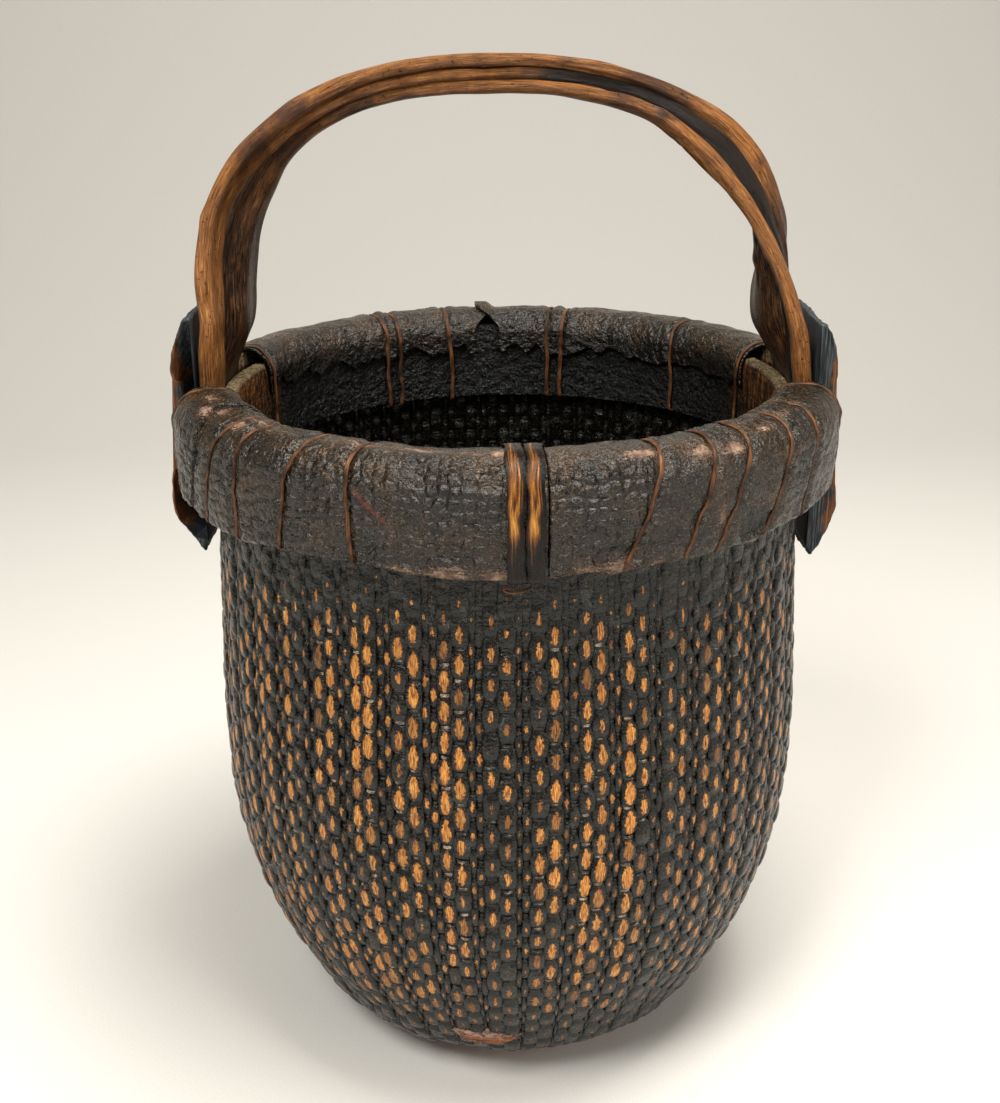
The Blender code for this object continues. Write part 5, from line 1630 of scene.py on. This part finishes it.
def foot_wood(name, low, high, lengthwise):
    """Split hardwood, never lacquered: scuffed orange below and pinkish grey above."""
    finish, add = new_finish(name)
    place = add("TexCoord", out="Object")
    grain = streaks(add, place, lengthwise, 5, 0.7)
    grime = add("TexNoise", {"Vector": place, "Scale": 260, "Detail": 4, "Roughness": 0.65})
    orange, pink = (add("ValToRGB", {0: grain}, stops=stops) for stops in (
        ((0.32, "3A1D10"), (0.46, "7E4626"), (0.60, "B06C3C"), (0.74, "D0A078")),
        ((0.32, "4A342A"), (0.48, "8A6A5C"), (0.64, "C0A294")),
    ))
    up = add("MapRange", {0: add("SeparateXYZ", {0: place}, out="Z"), 1: low, 2: high})
    skin = add("MixRGB", {0: up, 1: orange, 2: pink})
    dirt = add("MapRange", {0: grime, 1: 0.52, 2: 0.66, 3: 0, 4: 0.85})
    skin = add("MixRGB", {0: dirt, 1: skin, 2: paint("1C1410")})
    rough = add("MapRange", {0: grime, 3: 0.55, 4: 0.85})
    return coat(finish, skin, rough, grain, 0.0014)


hoop_finish = hoop_wood()
foot_finish = foot_wood("hardwood_foot_split", 0.0110, 0.0185, (900, 90, 900))
sole_finish = foot_wood("hardwood_sole_end_worn", 0.0435, 0.0480, (110, 700, 900))
dress(sole, sole_finish, "base_wood")
dress(batten, foot_finish, "base_wood", "base_batten_long")
KEPT = {
    "inner_hoop": hoop_finish, "outer_hoop_front": hoop_finish, "outer_hoop_back": hoop_finish,
    "base_ring": foot_finish, "base_batten_cross": foot_finish,
}
for side in ("left", "right"):
    for name in ("front", "middle", "back"):
        KEPT[f"peg_{name}_{side}"] = hardwood
for name, finish in KEPT.items():
    for place in bpy.data.objects[name].material_slots:
        place.material = finish
    print(name, "keeps its solid")

# %% [markdown]
# ## A floor and soft light
# A plain pale floor and large lamps, as in a studio. The floor's far side is bent up into a wall
# with a wide curve, as a photographer hangs a roll of paper, so no edge shows behind the basket.

# %% Floor, lamps and world
stage_floor, across, along = flat_grid("paper_sweep", 8, 160)
flat_part, curve, tall = 3.0, 1.2, 4.0
SWEEP_WIDTH, SWEEP_START = 9, -1.8
SKY_LIGHT, SKY_SEEN = 0.24, 0.92
run = along * (flat_part + curve * math.pi / 2 + tall)
turn = np.clip((run - flat_part) / curve, 0, math.pi / 2)
depth = np.minimum(run, flat_part) + curve * np.sin(turn)
height = curve * (1 - np.cos(turn)) + np.maximum(0, run - flat_part - curve * math.pi / 2)
bend(stage_floor, np.column_stack(((across - 0.5) * SWEEP_WIDTH, SWEEP_START + depth, height)))
pick(stage_floor)
bpy.ops.object.shade_smooth()
paper, add = new_finish("matt_paper_floor")
grit = add("TexNoise", {"Vector": add("TexCoord", out="Object"), "Scale": 900})
tone = add("ValToRGB", {0: grit}, stops=((0.3, "D9D6D0"), (0.7, "E2DFDA")))
shader = paper.node_tree.nodes["Principled BSDF"]
paper.node_tree.links.new(tone, shader.inputs["Base Color"])
shader.inputs["Roughness"].default_value = 0.9
stage_floor.data.materials.append(paper)
stage_floor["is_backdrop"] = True

world = bpy.data.worlds.new("studio_sky")
bpy.context.scene.world = world
world.use_nodes = True
sky = world.node_tree
# The sky that is seen is brighter than the light it gives
path = node(sky, "LightPath", out=None)
rays = {0: path["Is Camera Ray"], 1: path["Is Transmission Ray"]}
seen = node(sky, "Math", rays, operation="MAXIMUM")
level = node(sky, "MapRange", {0: seen, 3: SKY_LIGHT, 4: SKY_SEEN})
background = sky.nodes["Background"]
background.inputs["Color"].default_value = paint("F8F2E8")
sky.links.new(level, background.inputs["Strength"])


def lamp(name, place, target, size, watts, tint):
    """A square soft box aimed at a point."""
    pick()
    bpy.ops.object.light_add(type="AREA", location=place)
    made = bpy.context.object
    made.name = made.data.name = name
    made.data.size = size
    made.data.energy = watts
    made.data.color = paint(tint)[:3]
    x, y, z = np.array(target) - np.array(place)
    made.rotation_euler = (
        math.pi / 2 + math.atan2(z, math.hypot(x, y)), 0, math.atan2(y, x) - math.pi / 2
    )


lamp("soft_key", (-0.7, -1.2, 1.9), (0, 0, 0.25), 0.7, 36, "FFFDF8")
lamp("soft_top", (0.30, -0.25, 1.9), (0, 0, 0.3), 0.8, 40, "FFFCF6")
lamp("soft_fill", (1.5, -1.1, 0.9), (0, 0, 0.25), 1.0, 12, "FFFAF2")

# %% [markdown]
# ## The size of the dressed model
# The box that the dressed model fills is printed, in millimetres.

# %% Size
low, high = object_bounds()
print("visual box in mm:", [round(1000 * (b - a), 1) for a, b in zip(low, high)])
